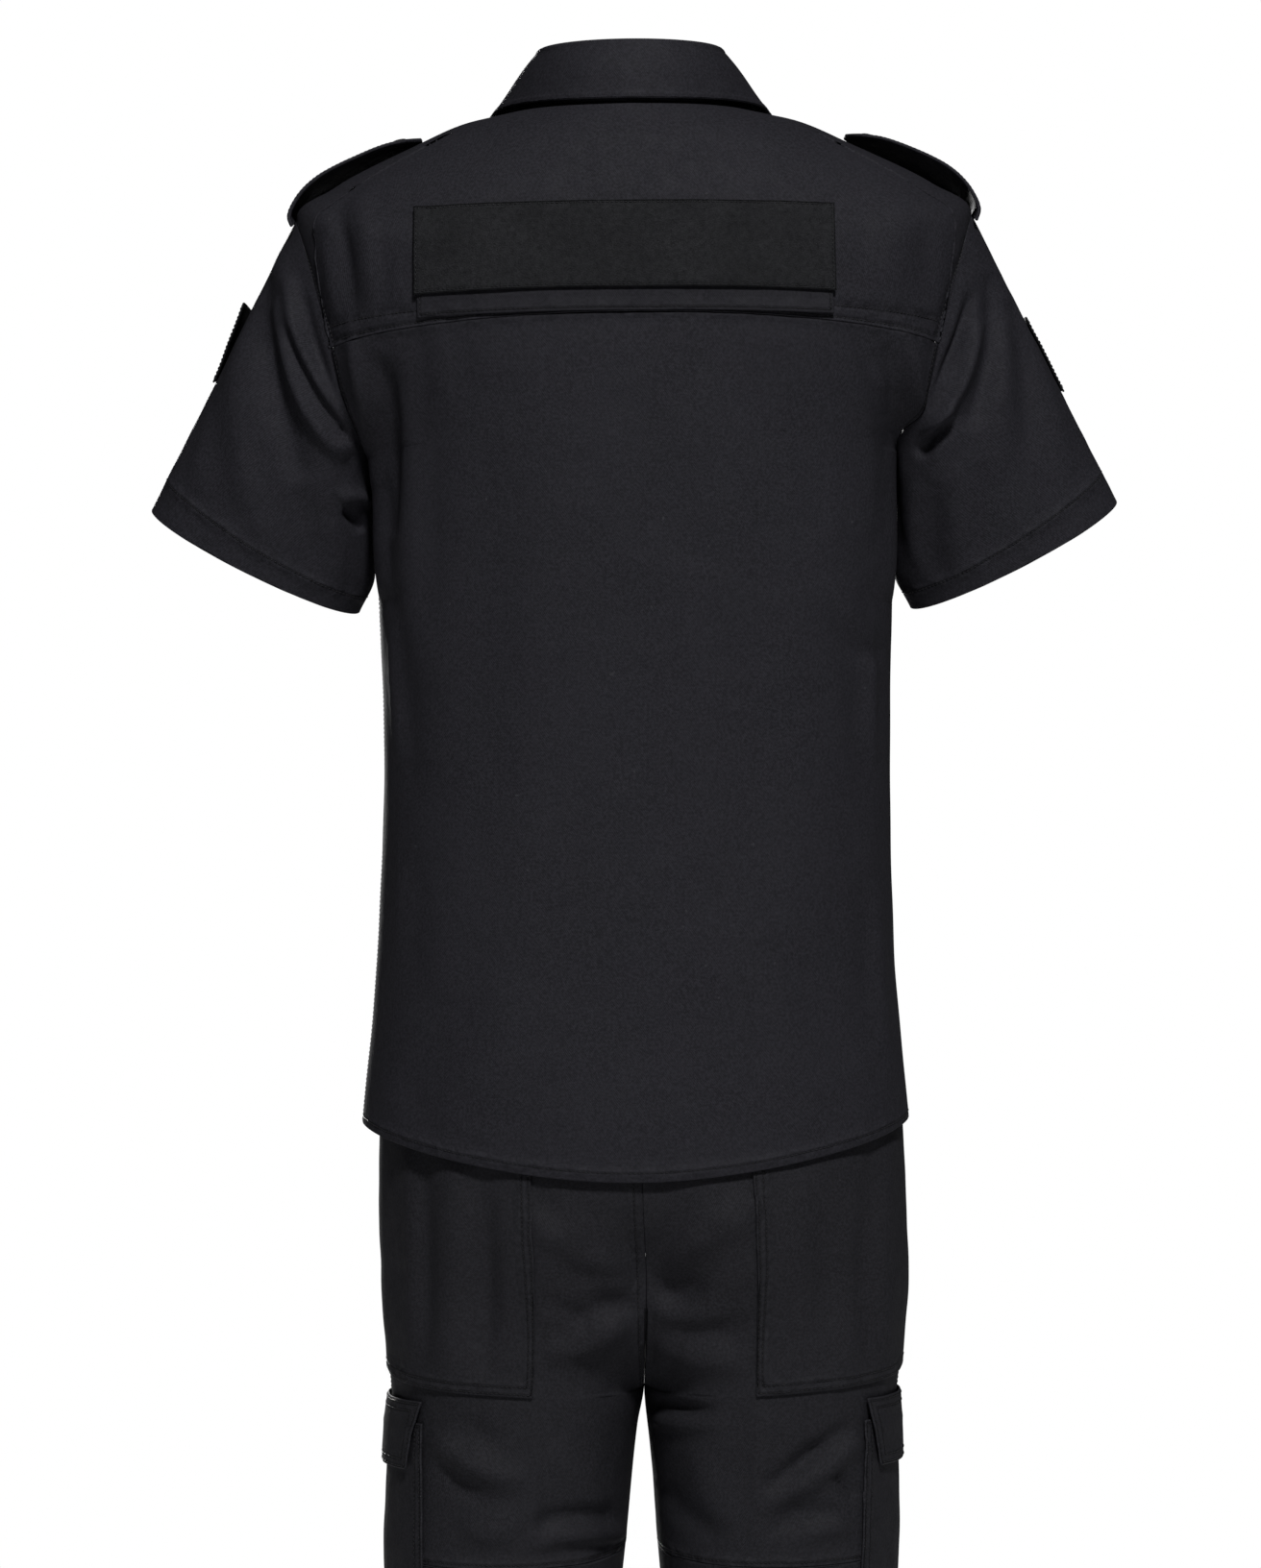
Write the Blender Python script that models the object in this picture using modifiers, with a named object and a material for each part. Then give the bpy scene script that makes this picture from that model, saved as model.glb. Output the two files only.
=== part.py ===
"""Security guard uniform in its worn shape, with no wearer: a short-sleeved shirt over cargo trousers.

The wearer faces -Y, +X is the wearer's left and +Z is up. The origin is between the shoulders, level with
the top of the collar seam, where the wearer's neck and shoulders hold the shirt.
Sizes in the tables are millimetres, and become metres when a mesh is made.

The shirt's body is one surface, shirt(theta, v): theta runs round the body from centre back, and v counts
the rings of SHIRT_RINGS from the neck seam to the hem. Its panels are areas of that surface. A sleeve runs
from the armhole, a curve on that surface, to the ring of its hem. The trousers are a surface of the same
kind, with rings that part into two legs below the seat.
"""

from bisect import bisect_right
from collections import namedtuple
from math import asin, cos, pi, radians, sin

import bmesh
import bpy
from mathutils import Matrix, Vector

MM = 0.001

# Cloth and seams
SHIRT_CLOTH = 1.5
TROUSER_CLOTH = 1.8
STRAP_CLOTH = 2.4
COLLAR_CLOTH = 1.8
PATCH_CLOTH = 1.4
SEAM_GAP = 0.3
LAY_GAP = 0.9  # under what lies on a panel
POCKET_GAP = 1.0
STEP = 1e-3  # of theta, v or a share, for measuring a surface's direction

# Shirt: rings from the neck seam down. The z of a ring changes from side to centre back or front as the
# cosine of theta raised to sweep. Sway is how far the ring's middle stands to the wearer's left.
ShirtRing = namedtuple("ShirtRing", "v half_width side_z back_y back_z front_y front_z square sweep sway")
SHIRT_RINGS = [
    ShirtRing(1.0, 69, -6.0, 70, -8.5, 78, -80, 2.0, 2.0, 0),
    ShirtRing(1.5, 94, -11.0, 78, -19, 82, -88, 2.0, 2.0, 0),
    ShirtRing(2.0, 112, -15.0, 86, -31, 86, -95, 2.05, 2.0, 0),
    ShirtRing(3.0, 152, -32.5, 99, -58, 93, -109, 2.1, 2.0, 0),
    ShirtRing(4.0, 202, -57.5, 110, -92, 102, -128, 2.2, 1.8, -0.7),
    ShirtRing(5.0, 228, -78.5, 115, -116, 108, -142, 2.3, 1.6, -1.4),
    ShirtRing(6.0, 214, -180.0, 120, -151.5, 116, -178, 2.45, 1.15, -0.6),
    ShirtRing(7.0, 176, -245.0, 122, -226, 122, -240, 2.5, 1.6, 0),
    ShirtRing(8.0, 174.5, -310.0, 120, -306, 121, -310, 2.5, 2.0, -0.5),
    ShirtRing(9.0, 170.8, -440.0, 117, -440, 118, -440, 2.5, 2.0, 0),
    ShirtRing(10.0, 174.5, -575.0, 121, -580, 122, -580, 2.5, 2.0, 1.7),
    ShirtRing(11.0, 184.5, -688.0, 127, -723.5, 127, -722, 2.5, 2.2, 3.0),
]
NECK_V, TIP_V, YOKE_V, UNDERARM_V, HEM_V = 1.0, 5.0, 6.0, 7.0, 11.0

# Armhole: an oval in theta and v, from the shoulder tip to the underarm
ARMHOLE_HALF_ANGLE = radians(25)
ARMHOLE_STEPS = 24
FRONT_YOKE_STEPS = 3  # how many of those steps the yoke goes round to the front
YOKE_FRONT_AT_NECK = radians(115)

# Sleeve hem, for the wearer's left sleeve
HEM_OUTER = Vector((327.8, -22, -272.5))
HEM_INNER = Vector((187.5, -22, -344.0))
HEM_HALF_DEPTH = 44
HEM_TILT = radians(14)  # the back of the hem hangs this much lower than square
SLEEVE_ROWS = 10

# Collar
STAND_TOP = ShirtRing(0.0, 59.5, 31, 60, 31, 64, -46, 2.0, 2.0, 0)
STAND_END = radians(178.2)
STAND_ROWS = 2
LeafStation = namedtuple("LeafStation", "share fold_angle edge_angle edge_v lift")
LEAF_STATIONS = [
    LeafStation(0.00, 0, 0, 1.00, 5.5),
    LeafStation(0.25, 45, 44, 1.10, 5.0),
    LeafStation(0.50, 90, 89, 1.36, 3.0),
    LeafStation(0.72, 128, 118, 2.1, 3.0),
    LeafStation(0.90, 160, 139, 3.3, 3.0),
    LeafStation(1.00, 175, 149, 4.1, 3.0),
]
LEAF_ROWS = 5

# Shoulder straps: the top face along the shoulder, from the sewn end to the tip
StrapStation = namedtuple("StrapStation", "share x z half_width droop")
STRAP_STATIONS = [
    StrapStation(0.00, 231.3, -80.0, 23, 0.5),
    StrapStation(0.06, 233.6, -74.5, 23, 1.2),
    StrapStation(0.15, 229.5, -66.0, 23, 2.0),
    StrapStation(0.26, 221.5, -57.0, 23, 2.8),
    StrapStation(0.40, 208.0, -48.5, 22.5, 6.0),
    StrapStation(0.60, 188.0, -39.0, 22, 7.5),
    StrapStation(0.80, 168.0, -31.0, 21, 6.0),
    StrapStation(0.92, 154.5, -27.5, 20, 4.5),
    StrapStation(1.00, 143.0, -24.0, 3, 0.5),
]
RIGHT_STRAP_RISE = 4.0
STRAP_BUTTON_X = 158.0

# Panels on the yoke. Their ends hang lower than their middle by the droop.
LOOP_CENTRE_X = 5.2
LOOP_HALF_WIDTH = 138.3
LOOP_TOP_Z, LOOP_BOTTOM_Z = -78.2, -136.0
LOOP_DROOP = 2.2
LOOP_CLOTH = 2.0
LOOP_BASE_BOTTOM_Z = -151.0
LOOP_BASE_INSET = 1.5

# Sleeve patches: from top to bottom as shares of the sleeve, and from a front to a back angle about its outer
# edge
SleevePatch = namedtuple("SleevePatch", "name side top bottom front back top_lift bottom_lift")
SLEEVE_PATCHES = [
    SleevePatch("sleeve_patch_left", 1, 0.30, 0.56, -0.92, 0.12, 6.0, 0.9),
    SleevePatch("sleeve_patch_right", -1, 0.36, 0.62, -1.02, 0.08, 0.9, 0.9),
]

# Placket and buttons
PLACKET_HALF_WIDTH = 16
FRONT_BUTTONS = 6
FRONT_BUTTON_TOP_V, FRONT_BUTTON_BOTTOM_V = 5.55, 10.4
BUTTON_RADIUS, BUTTON_DEPTH, BUTTON_EDGE = 6.0, 2.4, 0.6

# Trousers: rings from the waist down. Above the fork only the hip columns count, below it only the leg's.
TrouserRing = namedtuple("TrouserRing", "z outer hip_back hip_front inner leg_back leg_front sway")
TROUSER_RINGS = [
    TrouserRing(-545, 159.0, 103, 99, 0, 112, 100, 0),
    TrouserRing(-583, 164.0, 109, 102, 0, 112, 100, 0),
    TrouserRing(-640, 170.8, 118, 105, 0, 112, 100, 0),
    TrouserRing(-700, 174.8, 122, 107, 0, 112, 100, -0.6),
    TrouserRing(-740, 176.2, 122, 107, 0, 112, 100, -1.3),
    TrouserRing(-790, 176.4, 119, 107, 0, 108, 99, -3.0),
    TrouserRing(-842, 172.9, 116, 106, 0, 101, 96, -2.0),
    TrouserRing(-868, 170.8, 115, 105, 0, 97, 93, -1.2),
    TrouserRing(-894, 168.6, 115, 104, 3.5, 95, 91, 0),
    TrouserRing(-918, 169.6, 115, 104, 6.2, 93, 90, 0.3),
    TrouserRing(-972, 171.0, 115, 104, 10.6, 90, 87, 1.4),
    TrouserRing(-1007, 170.0, 115, 104, 14.0, 88, 85, 2.0),
    TrouserRing(-1100, 168.5, 115, 104, 22.0, 81, 81, 2.0),
    TrouserRing(-1200, 166.0, 115, 104, 30.0, 74, 77, 1.0),
    TrouserRing(-1350, 164.0, 115, 104, 38.0, 70, 72, 0),
    TrouserRing(-1550, 162.0, 115, 104, 44.0, 67, 69, 0),
]
WAIST_Z, BAND_Z, SEAT_Z, CROTCH_Z, ANKLE_Z = -545, -583, -760, -868, -1550
KNEE_SEAM_Z, KNEE_SEAM_DIP, KNEE_SEAM_REACH = -974, 7.5, 70
HIP_SQUARE, LEG_SQUARE = 2.4, 2.25
CROWD_TURN, CROWD_Z = 0.006, 2.5  # how close the columns and rows of a patch may come at its edges

# Pockets
SEAT_POCKET_TOP_Z, SEAT_POCKET_BOTTOM_Z, SEAT_POCKET_SIDE_Z = -655, -867, -849
SEAT_POCKET_TOP_X, SEAT_POCKET_BOTTOM_X = 72, 74
CargoPiece = namedtuple("CargoPiece", "name top_x bottom_x top bottom top_lift bottom_lift swell")
CARGO_PIECES = [
    CargoPiece("cargo_pocket", 146, 143, -886, -1072, 1.0, 1.0, 0.6),
    CargoPiece("cargo_flap", 146.5, 153.5, -871, -917, 1.2, 4.7, 0.3),
]
CARGO_CLOTH = 2.0
FLY_WIDTH, FLY_BOTTOM_Z = 34, -745
WAIST_BUTTON_RADIUS = 8.0

# Folds, in the view from behind: a bent line from (x, z) to (x, z), how wide and how high it is, and from
# what y it stands at full height. A trough has a height below zero.
Fold = namedtuple("Fold", "x0 z0 bend_x bend_z x1 z1 width height full_y")
SHIRT_FOLDS = [
    Fold(186, -165, 187, -240, 173, -335, 13, 9.0, 40),
    Fold(163, -180, 166, -250, 164, -345, 9, -4.5, 40),
    Fold(-187, -160, -192, -235, -172, -340, 13, 9.5, 40),
    Fold(-168, -200, -172, -260, -165, -350, 10, -3.0, 40),
]
SLEEVE_FOLDS = [
    Fold(225, -140, 216, -190, 192, -238, 7, 5.0, 15),
    Fold(240, -150, 232, -215, 205, -262, 9, 5.0, 15),
    Fold(233, -150, 224, -200, 200, -245, 6, -4.5, 15),
    Fold(-224, -150, -212, -190, -196, -226, 7, 5.0, 15),
    Fold(-238, -140, -232, -200, -204, -255, 9, 5.0, 15),
    Fold(-198, -240, -206, -262, -224, -256, 9, -6.0, 15),
]
TROUSER_FOLDS = [
    Fold(52, -762, 40, -792, 12, -806, 14, -5.0, 40),
    Fold(58, -838, 38, -854, 16, -838, 14, -4.5, 40),
    Fold(-12, -806, -36, -784, -54, -752, 14, -5.0, 40),
    Fold(-24, -842, -44, -850, -62, -838, 15, 4.0, 40),
    Fold(118, -905, 104, -935, 84, -955, 16, 4.5, 40),
    Fold(-118, -900, -104, -930, -88, -950, 16, -4.0, 40),
]


class Curve:
    """A smooth curve through (key, value) points that never goes past them."""

    def __init__(self, points):
        self.keys, self.values = zip(*points)
        rises = [(b - a) / (q - p) for (p, a), (q, b) in zip(points, points[1:])]
        inner = [0 if r * s <= 0 else 2 * r * s / (r + s) for r, s in zip(rises, rises[1:])]
        self.slopes = [rises[0], *inner, rises[-1]]

    def __call__(self, key):
        key = min(max(key, self.keys[0]), self.keys[-1])
        i = min(bisect_right(self.keys, key), len(self.keys) - 1) - 1
        span = self.keys[i + 1] - self.keys[i]
        t = (key - self.keys[i]) / span
        start, end = self.values[i], self.values[i + 1]
        ease = t * t * (3 - 2 * t)
        lead = t * (1 - t) ** 2 * span * self.slopes[i]
        trail = t * t * (t - 1) * span * self.slopes[i + 1]
        return start + (end - start) * ease + lead + trail


def columns(table):
    """A table's columns as curves over its first one, in a tuple with the same column names."""
    ordered = sorted(table)
    kind = type(table[0])
    return kind(*(Curve([(row[0], row[i]) for row in ordered]) for i in range(len(kind._fields))))


def row_at(table_curves, key):
    return type(table_curves)(*(curve(key) for curve in table_curves))


SHIRT = columns(SHIRT_RINGS)
LEAF = columns(LEAF_STATIONS)
STRAP = columns(STRAP_STATIONS)
TROUSERS = columns(TROUSER_RINGS)
# How far the underside of a sleeve leans in towards the body, over its length
UNDERARM_LEAN = Curve([(0, 0), (0.25, -2.2), (0.5, -5.2), (0.75, -8.0), (1, 0)])


def smoothstep(share):
    share = min(max(share, 0), 1)
    return share * share * (3 - 2 * share)


def mix(a, b, share):
    return a + (b - a) * share


def spaced(start, end, steps):
    return [mix(start, end, i / steps) for i in range(steps + 1)]


def oval(angle, square):
    """(sine, cosine) of an angle, pushed out towards a square's corners as square goes above 2."""
    s, c = sin(angle), cos(angle)
    out = (abs(s) ** square + abs(c) ** square) ** (-1 / square)
    return s * out, c * out


def fold_height(point, folds):
    """How far the folds move a point of the back out, from its place in the view from behind."""
    total = 0
    for fold in folds:
        if point.y <= 0:
            continue
        nearest = None
        last = Vector((fold.x0, fold.z0))
        steps = 8
        for i in range(1, steps + 1):
            t = i / steps
            here = (
                Vector((fold.x0, fold.z0)) * (1 - t) ** 2
                + Vector((fold.bend_x, fold.bend_z)) * 2 * t * (1 - t)
                + Vector((fold.x1, fold.z1)) * t * t
            )
            along = here - last
            share = (Vector((point.x, point.z)) - last).dot(along) / along.length_squared
            share = min(max(share, 0), 1)
            away = (Vector((point.x, point.z)) - last - along * share).length
            if nearest is None or away < nearest[0]:
                nearest = (away, (i - 1 + share) / steps)
            last = here
        away, share = nearest
        taper = (4 * share * (1 - share)) ** 0.6
        total += fold.height * taper * 2.72 ** (-((away / fold.width) ** 2)) * smoothstep(point.y / fold.full_y)
    return total


def with_normal(surface, a, b):
    """(point, normal) of a surface of two parameters. The normal points along d/da x d/db."""
    along_a = surface(a + STEP, b) - surface(a - STEP, b)
    along_b = surface(a, b + STEP) - surface(a, b - STEP)
    return surface(a, b), along_a.cross(along_b).normalized()


def ring_point(ring, theta):
    s, c = oval(theta, ring.square)
    share = abs(cos(theta)) ** ring.sweep
    x = ring.half_width * s + ring.sway
    if c >= 0:
        return Vector((x, ring.back_y * c, mix(ring.side_z, ring.back_z, share)))
    return Vector((x, ring.front_y * c, mix(ring.side_z, ring.front_z, share)))


def folded(surface, folds, outward):
    """The surface with the folds raised on it. outward is 1 or -1, as its with_normal points out or in."""

    def raised(a, b):
        point, normal = with_normal(surface, a, b)
        return point + normal * outward * fold_height(point, folds)

    return raised


def plain_shirt(theta, v):
    return ring_point(row_at(SHIRT, v), theta)


raised_shirt = folded(plain_shirt, SHIRT_FOLDS, 1)


def shirt(theta, v):
    return with_normal(raised_shirt, theta, v)


def armhole(phi):
    """(theta, v) on the left armhole: phi is 0 at the shoulder tip, and quarter of a turn is at the back."""
    return pi / 2 - ARMHOLE_HALF_ANGLE * sin(phi), YOKE_V - cos(phi)


def armhole_angles(first, last):
    """The angles phi of the armhole's shared points, by their numbers."""
    return [2 * pi * i / ARMHOLE_STEPS for i in range(first, last + 1)]


def sleeve_surface(side):
    """The outer face of a sleeve, as a function of phi and the share of its length."""
    centre = (HEM_OUTER + HEM_INNER) / 2
    across = HEM_OUTER - centre
    down = Vector((across.z, 0, -across.x)).normalized()
    back = Vector((0, cos(HEM_TILT), 0)) + down * sin(HEM_TILT)

    def plain(phi, share):
        theta, v = armhole(phi)
        start = raised_shirt(theta * side, v)
        start.x *= side
        end = centre + across * cos(phi) + back * HEM_HALF_DEPTH * sin(phi)
        point = start.lerp(end, share)
        point.x += UNDERARM_LEAN(share) * max(0, -cos(phi)) ** 2
        return Vector((point.x * side, point.y, point.z))

    def raised(phi, share):
        point, normal = with_normal(plain, phi, share)
        start_fade = smoothstep((share - 0.02) / 0.12)
        return point - normal * side * fold_height(point, SLEEVE_FOLDS) * start_fade

    return raised


def leg_share(turn, z):
    """How much of a point is the leg's and how much the hip's. It changes fast only beside the seat seam."""
    rise = min(max((SEAT_Z - z) / (SEAT_Z - CROTCH_Z), 0), 1)
    by_seam = smoothstep((abs(turn) - 0.45) / 0.5)
    return mix(smoothstep(rise), 1 - (1 - rise * rise) ** 0.5, by_seam)


def plain_trousers(turn, z):
    """Left half: turn is 0 at the outer seam, 1 at the centre back or inseam, -1 at the centre front."""
    ring = row_at(TROUSERS, z)
    s, c = oval(abs(turn) * pi / 2, HIP_SQUARE)
    deep = ring.hip_back if turn >= 0 else ring.hip_front
    hip = Vector((ring.outer * c, deep * s, z))
    s, c = oval(abs(turn) * pi, LEG_SQUARE)
    deep = ring.leg_back if turn >= 0 else ring.leg_front
    half = (ring.outer - ring.inner) / 2
    leg = Vector((ring.inner + half + half * c, deep * s, z))
    point = hip.lerp(leg, leg_share(turn, z))
    if turn < 0:
        point.y = -point.y
    return point


def trouser_surface(side):
    """The outer face of the trousers on one side, as a function of the turn and z."""

    def plain(turn, z):
        point = plain_trousers(turn, z)
        return Vector((point.x * side + TROUSERS.sway(z), point.y, point.z))

    def raised(turn, z):
        point, normal = with_normal(plain, turn, z)
        return point + normal * side * fold_height(point, TROUSER_FOLDS) * smoothstep((1 - abs(turn)) / 0.12)

    return raised


def out_from(surface, a, b, outward):
    point, normal = with_normal(surface, a, b)
    return point, normal * outward


def build_object(name, mesh, material):
    mesh.materials.append(material)
    obj = bpy.data.objects.new(name, mesh)
    PARTS.objects.link(obj)
    return obj


def inset(points, wrap):
    """The grid with its outer rows and columns drawn in by half a seam gap."""
    moved = [[point.copy() for point in row] for row in points]
    for row, beside in ((0, 1), (-1, -2)):
        for j, point in enumerate(points[row]):
            moved[row][j] += (points[beside][j] - point).normalized() * SEAM_GAP / 2
    if not wrap:
        for i, row in enumerate(points):
            for column, beside in ((0, 1), (-1, -2)):
                moved[i][column] += (row[beside] - row[column]).normalized() * SEAM_GAP / 2
    return moved


def wall(name, grid, thickness, material, wrap=False, lift=None, trim=True):
    """A closed cloth wall on a grid of (point, normal), thickened inwards.

    With lift, a function of the shares down and across the grid, it stands that far out from the grid.
    """
    points = [[point for point, _ in row] for row in grid]
    normals = [[normal for _, normal in row] for row in grid]
    rows, across = len(points), len(points[0])
    if lift:
        for i in range(rows):
            for j in range(across):
                out = lift(i / (rows - 1), j / (across - 1)) + thickness
                points[i][j] = points[i][j] + normals[i][j] * out
    if trim:
        points = inset(points, wrap)
    bm = bmesh.new()
    outer = [[bm.verts.new(point * MM) for point in row] for row in points]
    inner = [
        [bm.verts.new((points[i][j] - normals[i][j] * thickness) * MM) for j in range(across)] for i in range(rows)
    ]
    last = across if wrap else across - 1
    for i in range(rows - 1):
        for j in range(last):
            k = (j + 1) % across
            bm.faces.new((outer[i][j], outer[i][k], outer[i + 1][k], outer[i + 1][j]))
            bm.faces.new((inner[i][j], inner[i + 1][j], inner[i + 1][k], inner[i][k]))
    for i in (0, rows - 1):
        for j in range(last):
            k = (j + 1) % across
            bm.faces.new((outer[i][j], outer[i][k], inner[i][k], inner[i][j]))
    if not wrap:
        for j in (0, across - 1):
            for i in range(rows - 1):
                bm.faces.new((outer[i][j], outer[i + 1][j], inner[i + 1][j], inner[i][j]))
    bmesh.ops.recalc_face_normals(bm, faces=bm.faces)
    mesh = bpy.data.meshes.new(name)
    bm.to_mesh(mesh)
    bm.free()
    mesh.shade_smooth()
    mesh.set_sharp_from_angle(angle=radians(50))
    return build_object(name, mesh, material)


def cloth(name, colour, roughness):
    material = bpy.data.materials.new(name)
    material.use_nodes = True
    shader = material.node_tree.nodes["Principled BSDF"]
    shader.inputs["Base Color"].default_value = (*colour, 1)
    shader.inputs["Roughness"].default_value = roughness
    shader.inputs["Metallic"].default_value = 0
    return material


def button(name, place, normal, radius, material):
    """A disc with a rounded edge, its lower face a seam gap above the place."""
    bm = bmesh.new()
    bmesh.ops.create_cone(
        bm, cap_ends=True, segments=10, radius1=radius * MM, radius2=radius * MM, depth=BUTTON_DEPTH * MM
    )
    mesh = bpy.data.meshes.new(name)
    bm.to_mesh(mesh)
    bm.free()
    obj = build_object(name, mesh, material)
    centre = place + normal * (SEAM_GAP + BUTTON_DEPTH / 2)
    turn = Vector((0, 0, 1)).rotation_difference(normal).to_matrix().to_4x4()
    obj.matrix_world = Matrix.Translation(centre * MM) @ turn
    bevel = obj.modifiers.new("rounded edge", "BEVEL")
    bevel.width = BUTTON_EDGE * MM
    bevel.segments = 1
    bevel.limit_method = "ANGLE"
    return obj


def seam_normal(own, other):
    """The way a wall's edge runs at a seam between two walls: shared, unless the walls turn back to back."""
    share = smoothstep((own.dot(other) + 0.1) / 0.6)
    return own.lerp((own + other).normalized(), share).normalized()


def armhole_edges():
    """For each side, the (point, normal) of the body's and of the sleeve's edge at each armhole angle."""
    edges = {}
    for side in (1, -1):
        surface = sleeve_surface(side)
        for phi in armhole_angles(0, ARMHOLE_STEPS - 1):
            theta, v = armhole(phi)
            point, body_normal = shirt(theta * side, v)
            near = 0.02
            sleeve_normal = -with_normal(surface, phi, near)[1] * side
            number = round(phi / (2 * pi) * ARMHOLE_STEPS)
            edges[side, number] = (
                (point, seam_normal(body_normal, sleeve_normal)),
                (point, seam_normal(sleeve_normal, body_normal)),
            )
    return edges


def body_edge(side, number):
    return EDGES[side, number % ARMHOLE_STEPS][0]


def make_back():
    """The back below the yoke, in one piece from side seam to side seam."""
    half = 11
    quarter, bottom = ARMHOLE_STEPS // 4, ARMHOLE_STEPS // 2
    rows = []
    for number in range(quarter, bottom + 1):
        theta, v = armhole(2 * pi * number / ARMHOLE_STEPS)
        row = [shirt(theta * j / half, v) for j in range(-half, half + 1)]
        if number < bottom:
            row[0], row[-1] = body_edge(-1, number), body_edge(1, number)
        rows.append(row)
    for v in spaced(UNDERARM_V, HEM_V, 10)[1:]:
        rows.append([shirt(pi / 2 * j / half, v) for j in range(-half, half + 1)])
    wall("shirt_back", rows, SHIRT_CLOTH, TWILL)


def yoke_outline():
    """(neck angle, outer angle, outer v, side and number of the armhole point or None) round the yoke."""
    quarter = ARMHOLE_STEPS // 4
    half = []
    edge_theta = armhole(pi / 2)[0]
    for theta in spaced(0, edge_theta, 10)[:-1]:
        half.append((theta, YOKE_V, None))
    for number in range(quarter, -FRONT_YOKE_STEPS - 1, -1):
        theta, v = armhole(2 * pi * number / ARMHOLE_STEPS)
        half.append((theta, v, number))
    stretch = YOKE_FRONT_AT_NECK / half[-1][0]
    right = [(-theta * stretch, -theta, v, (-1, n) if n is not None else None) for theta, v, n in half[:0:-1]]
    left = [(theta * stretch, theta, v, (1, n) if n is not None else None) for theta, v, n in half]
    return right + left


YOKE_ROWS = 8


def make_yoke():
    """The yoke: over both shoulders and across the back, round the back of the neck."""
    outline = yoke_outline()
    rows = []
    for i in range(YOKE_ROWS + 1):
        share = i / YOKE_ROWS
        row = []
        for neck_theta, theta, v, edge in outline:
            if edge and i == YOKE_ROWS:
                row.append(body_edge(*edge))
            else:
                row.append(shirt(mix(neck_theta, theta, share), mix(NECK_V, v, share)))
        rows.append(row)
    wall("shirt_yoke", rows, SHIRT_CLOTH, TWILL)


def make_front(name, side):
    """A front, from its side seam to the centre front, and from the neck and the yoke to the hem."""
    across = 8
    bottom = ARMHOLE_STEPS // 2
    seam_theta, seam_v = armhole(-2 * pi * FRONT_YOKE_STEPS / ARMHOLE_STEPS)
    rows = []

    def add_row(v, edge_theta, edge=None):
        row = [shirt(mix(edge_theta, pi, j / across) * side, v) for j in range(across + 1)]
        if edge:
            row[0] = edge
        rows.append(row)

    for i in range(YOKE_ROWS + 1):
        share = i / YOKE_ROWS
        edge = body_edge(side, -FRONT_YOKE_STEPS) if i == YOKE_ROWS else None
        add_row(mix(NECK_V, seam_v, share), mix(YOKE_FRONT_AT_NECK, seam_theta, share), edge)
    for number in range(FRONT_YOKE_STEPS + 1, bottom):
        theta, v = armhole(-2 * pi * number / ARMHOLE_STEPS)
        add_row(v, theta, body_edge(side, -number))
    for v in spaced(UNDERARM_V, HEM_V, 8):
        add_row(v, pi / 2)
    wall(name, rows, SHIRT_CLOTH, TWILL)


def placket_theta(v, x):
    return pi - asin(x / SHIRT.half_width(v))


def make_placket():
    """The button placket down the centre front, on the fronts."""
    rows = [
        [shirt(placket_theta(v, x), v) for x in spaced(PLACKET_HALF_WIDTH, -PLACKET_HALF_WIDTH, 2)]
        for v in spaced(NECK_V + 0.1, HEM_V, 18)
    ]
    wall("shirt_placket", rows, SHIRT_CLOTH, TWILL, lift=lambda down, along: LAY_GAP)


def make_front_buttons():
    top = LAY_GAP + SHIRT_CLOTH
    for i, v in enumerate(spaced(FRONT_BUTTON_TOP_V, FRONT_BUTTON_BOTTOM_V, FRONT_BUTTONS - 1)):
        point, normal = shirt(pi, v)
        button(f"front_button_{i + 1}", point + normal * top, normal, BUTTON_RADIUS, BUTTON)


def make_sleeve(name, side):
    surface = sleeve_surface(side)
    phis = armhole_angles(0, ARMHOLE_STEPS - 1)
    seam = [EDGES[side, number][1] for number in range(ARMHOLE_STEPS)]
    ahead = [surface(phi, 0.05) for phi in phis]
    clear = SEAM_GAP / 2
    rows = [[(point + (to - point).normalized() * clear, normal) for (point, normal), to in zip(seam, ahead)]]
    for share in spaced(0, 1, SLEEVE_ROWS)[1:]:
        rows.append([out_from(surface, phi, share, -side) for phi in phis])
    wall(name, rows, SHIRT_CLOTH, TWILL, wrap=True)


def make_sleeve_patch(patch):
    surface = sleeve_surface(patch.side)
    rows = []
    for share in spaced(patch.top, patch.bottom, 5):
        rows.append([out_from(surface, phi, share, -patch.side) for phi in spaced(patch.front, patch.back, 8)])

    def lift(down, along):
        return mix(patch.top_lift, patch.bottom_lift, down**0.8)

    wall(patch.name, rows, PATCH_CLOTH, TWILL, lift=lift)


def stand_point(theta, share):
    """Outer face of the collar stand, from just above the neck seam to its top."""
    foot = shirt(theta, NECK_V)[0] + Vector((0, 0, LAY_GAP))
    return foot.lerp(ring_point(STAND_TOP, theta), share)


def make_stand():
    rows = [
        [out_from(stand_point, theta, share, -1) for theta in spaced(-STAND_END, STAND_END, 36)]
        for share in spaced(0, 1, STAND_ROWS)
    ]
    wall("collar_stand", rows, COLLAR_CLOTH, TWILL, trim=False)


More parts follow.
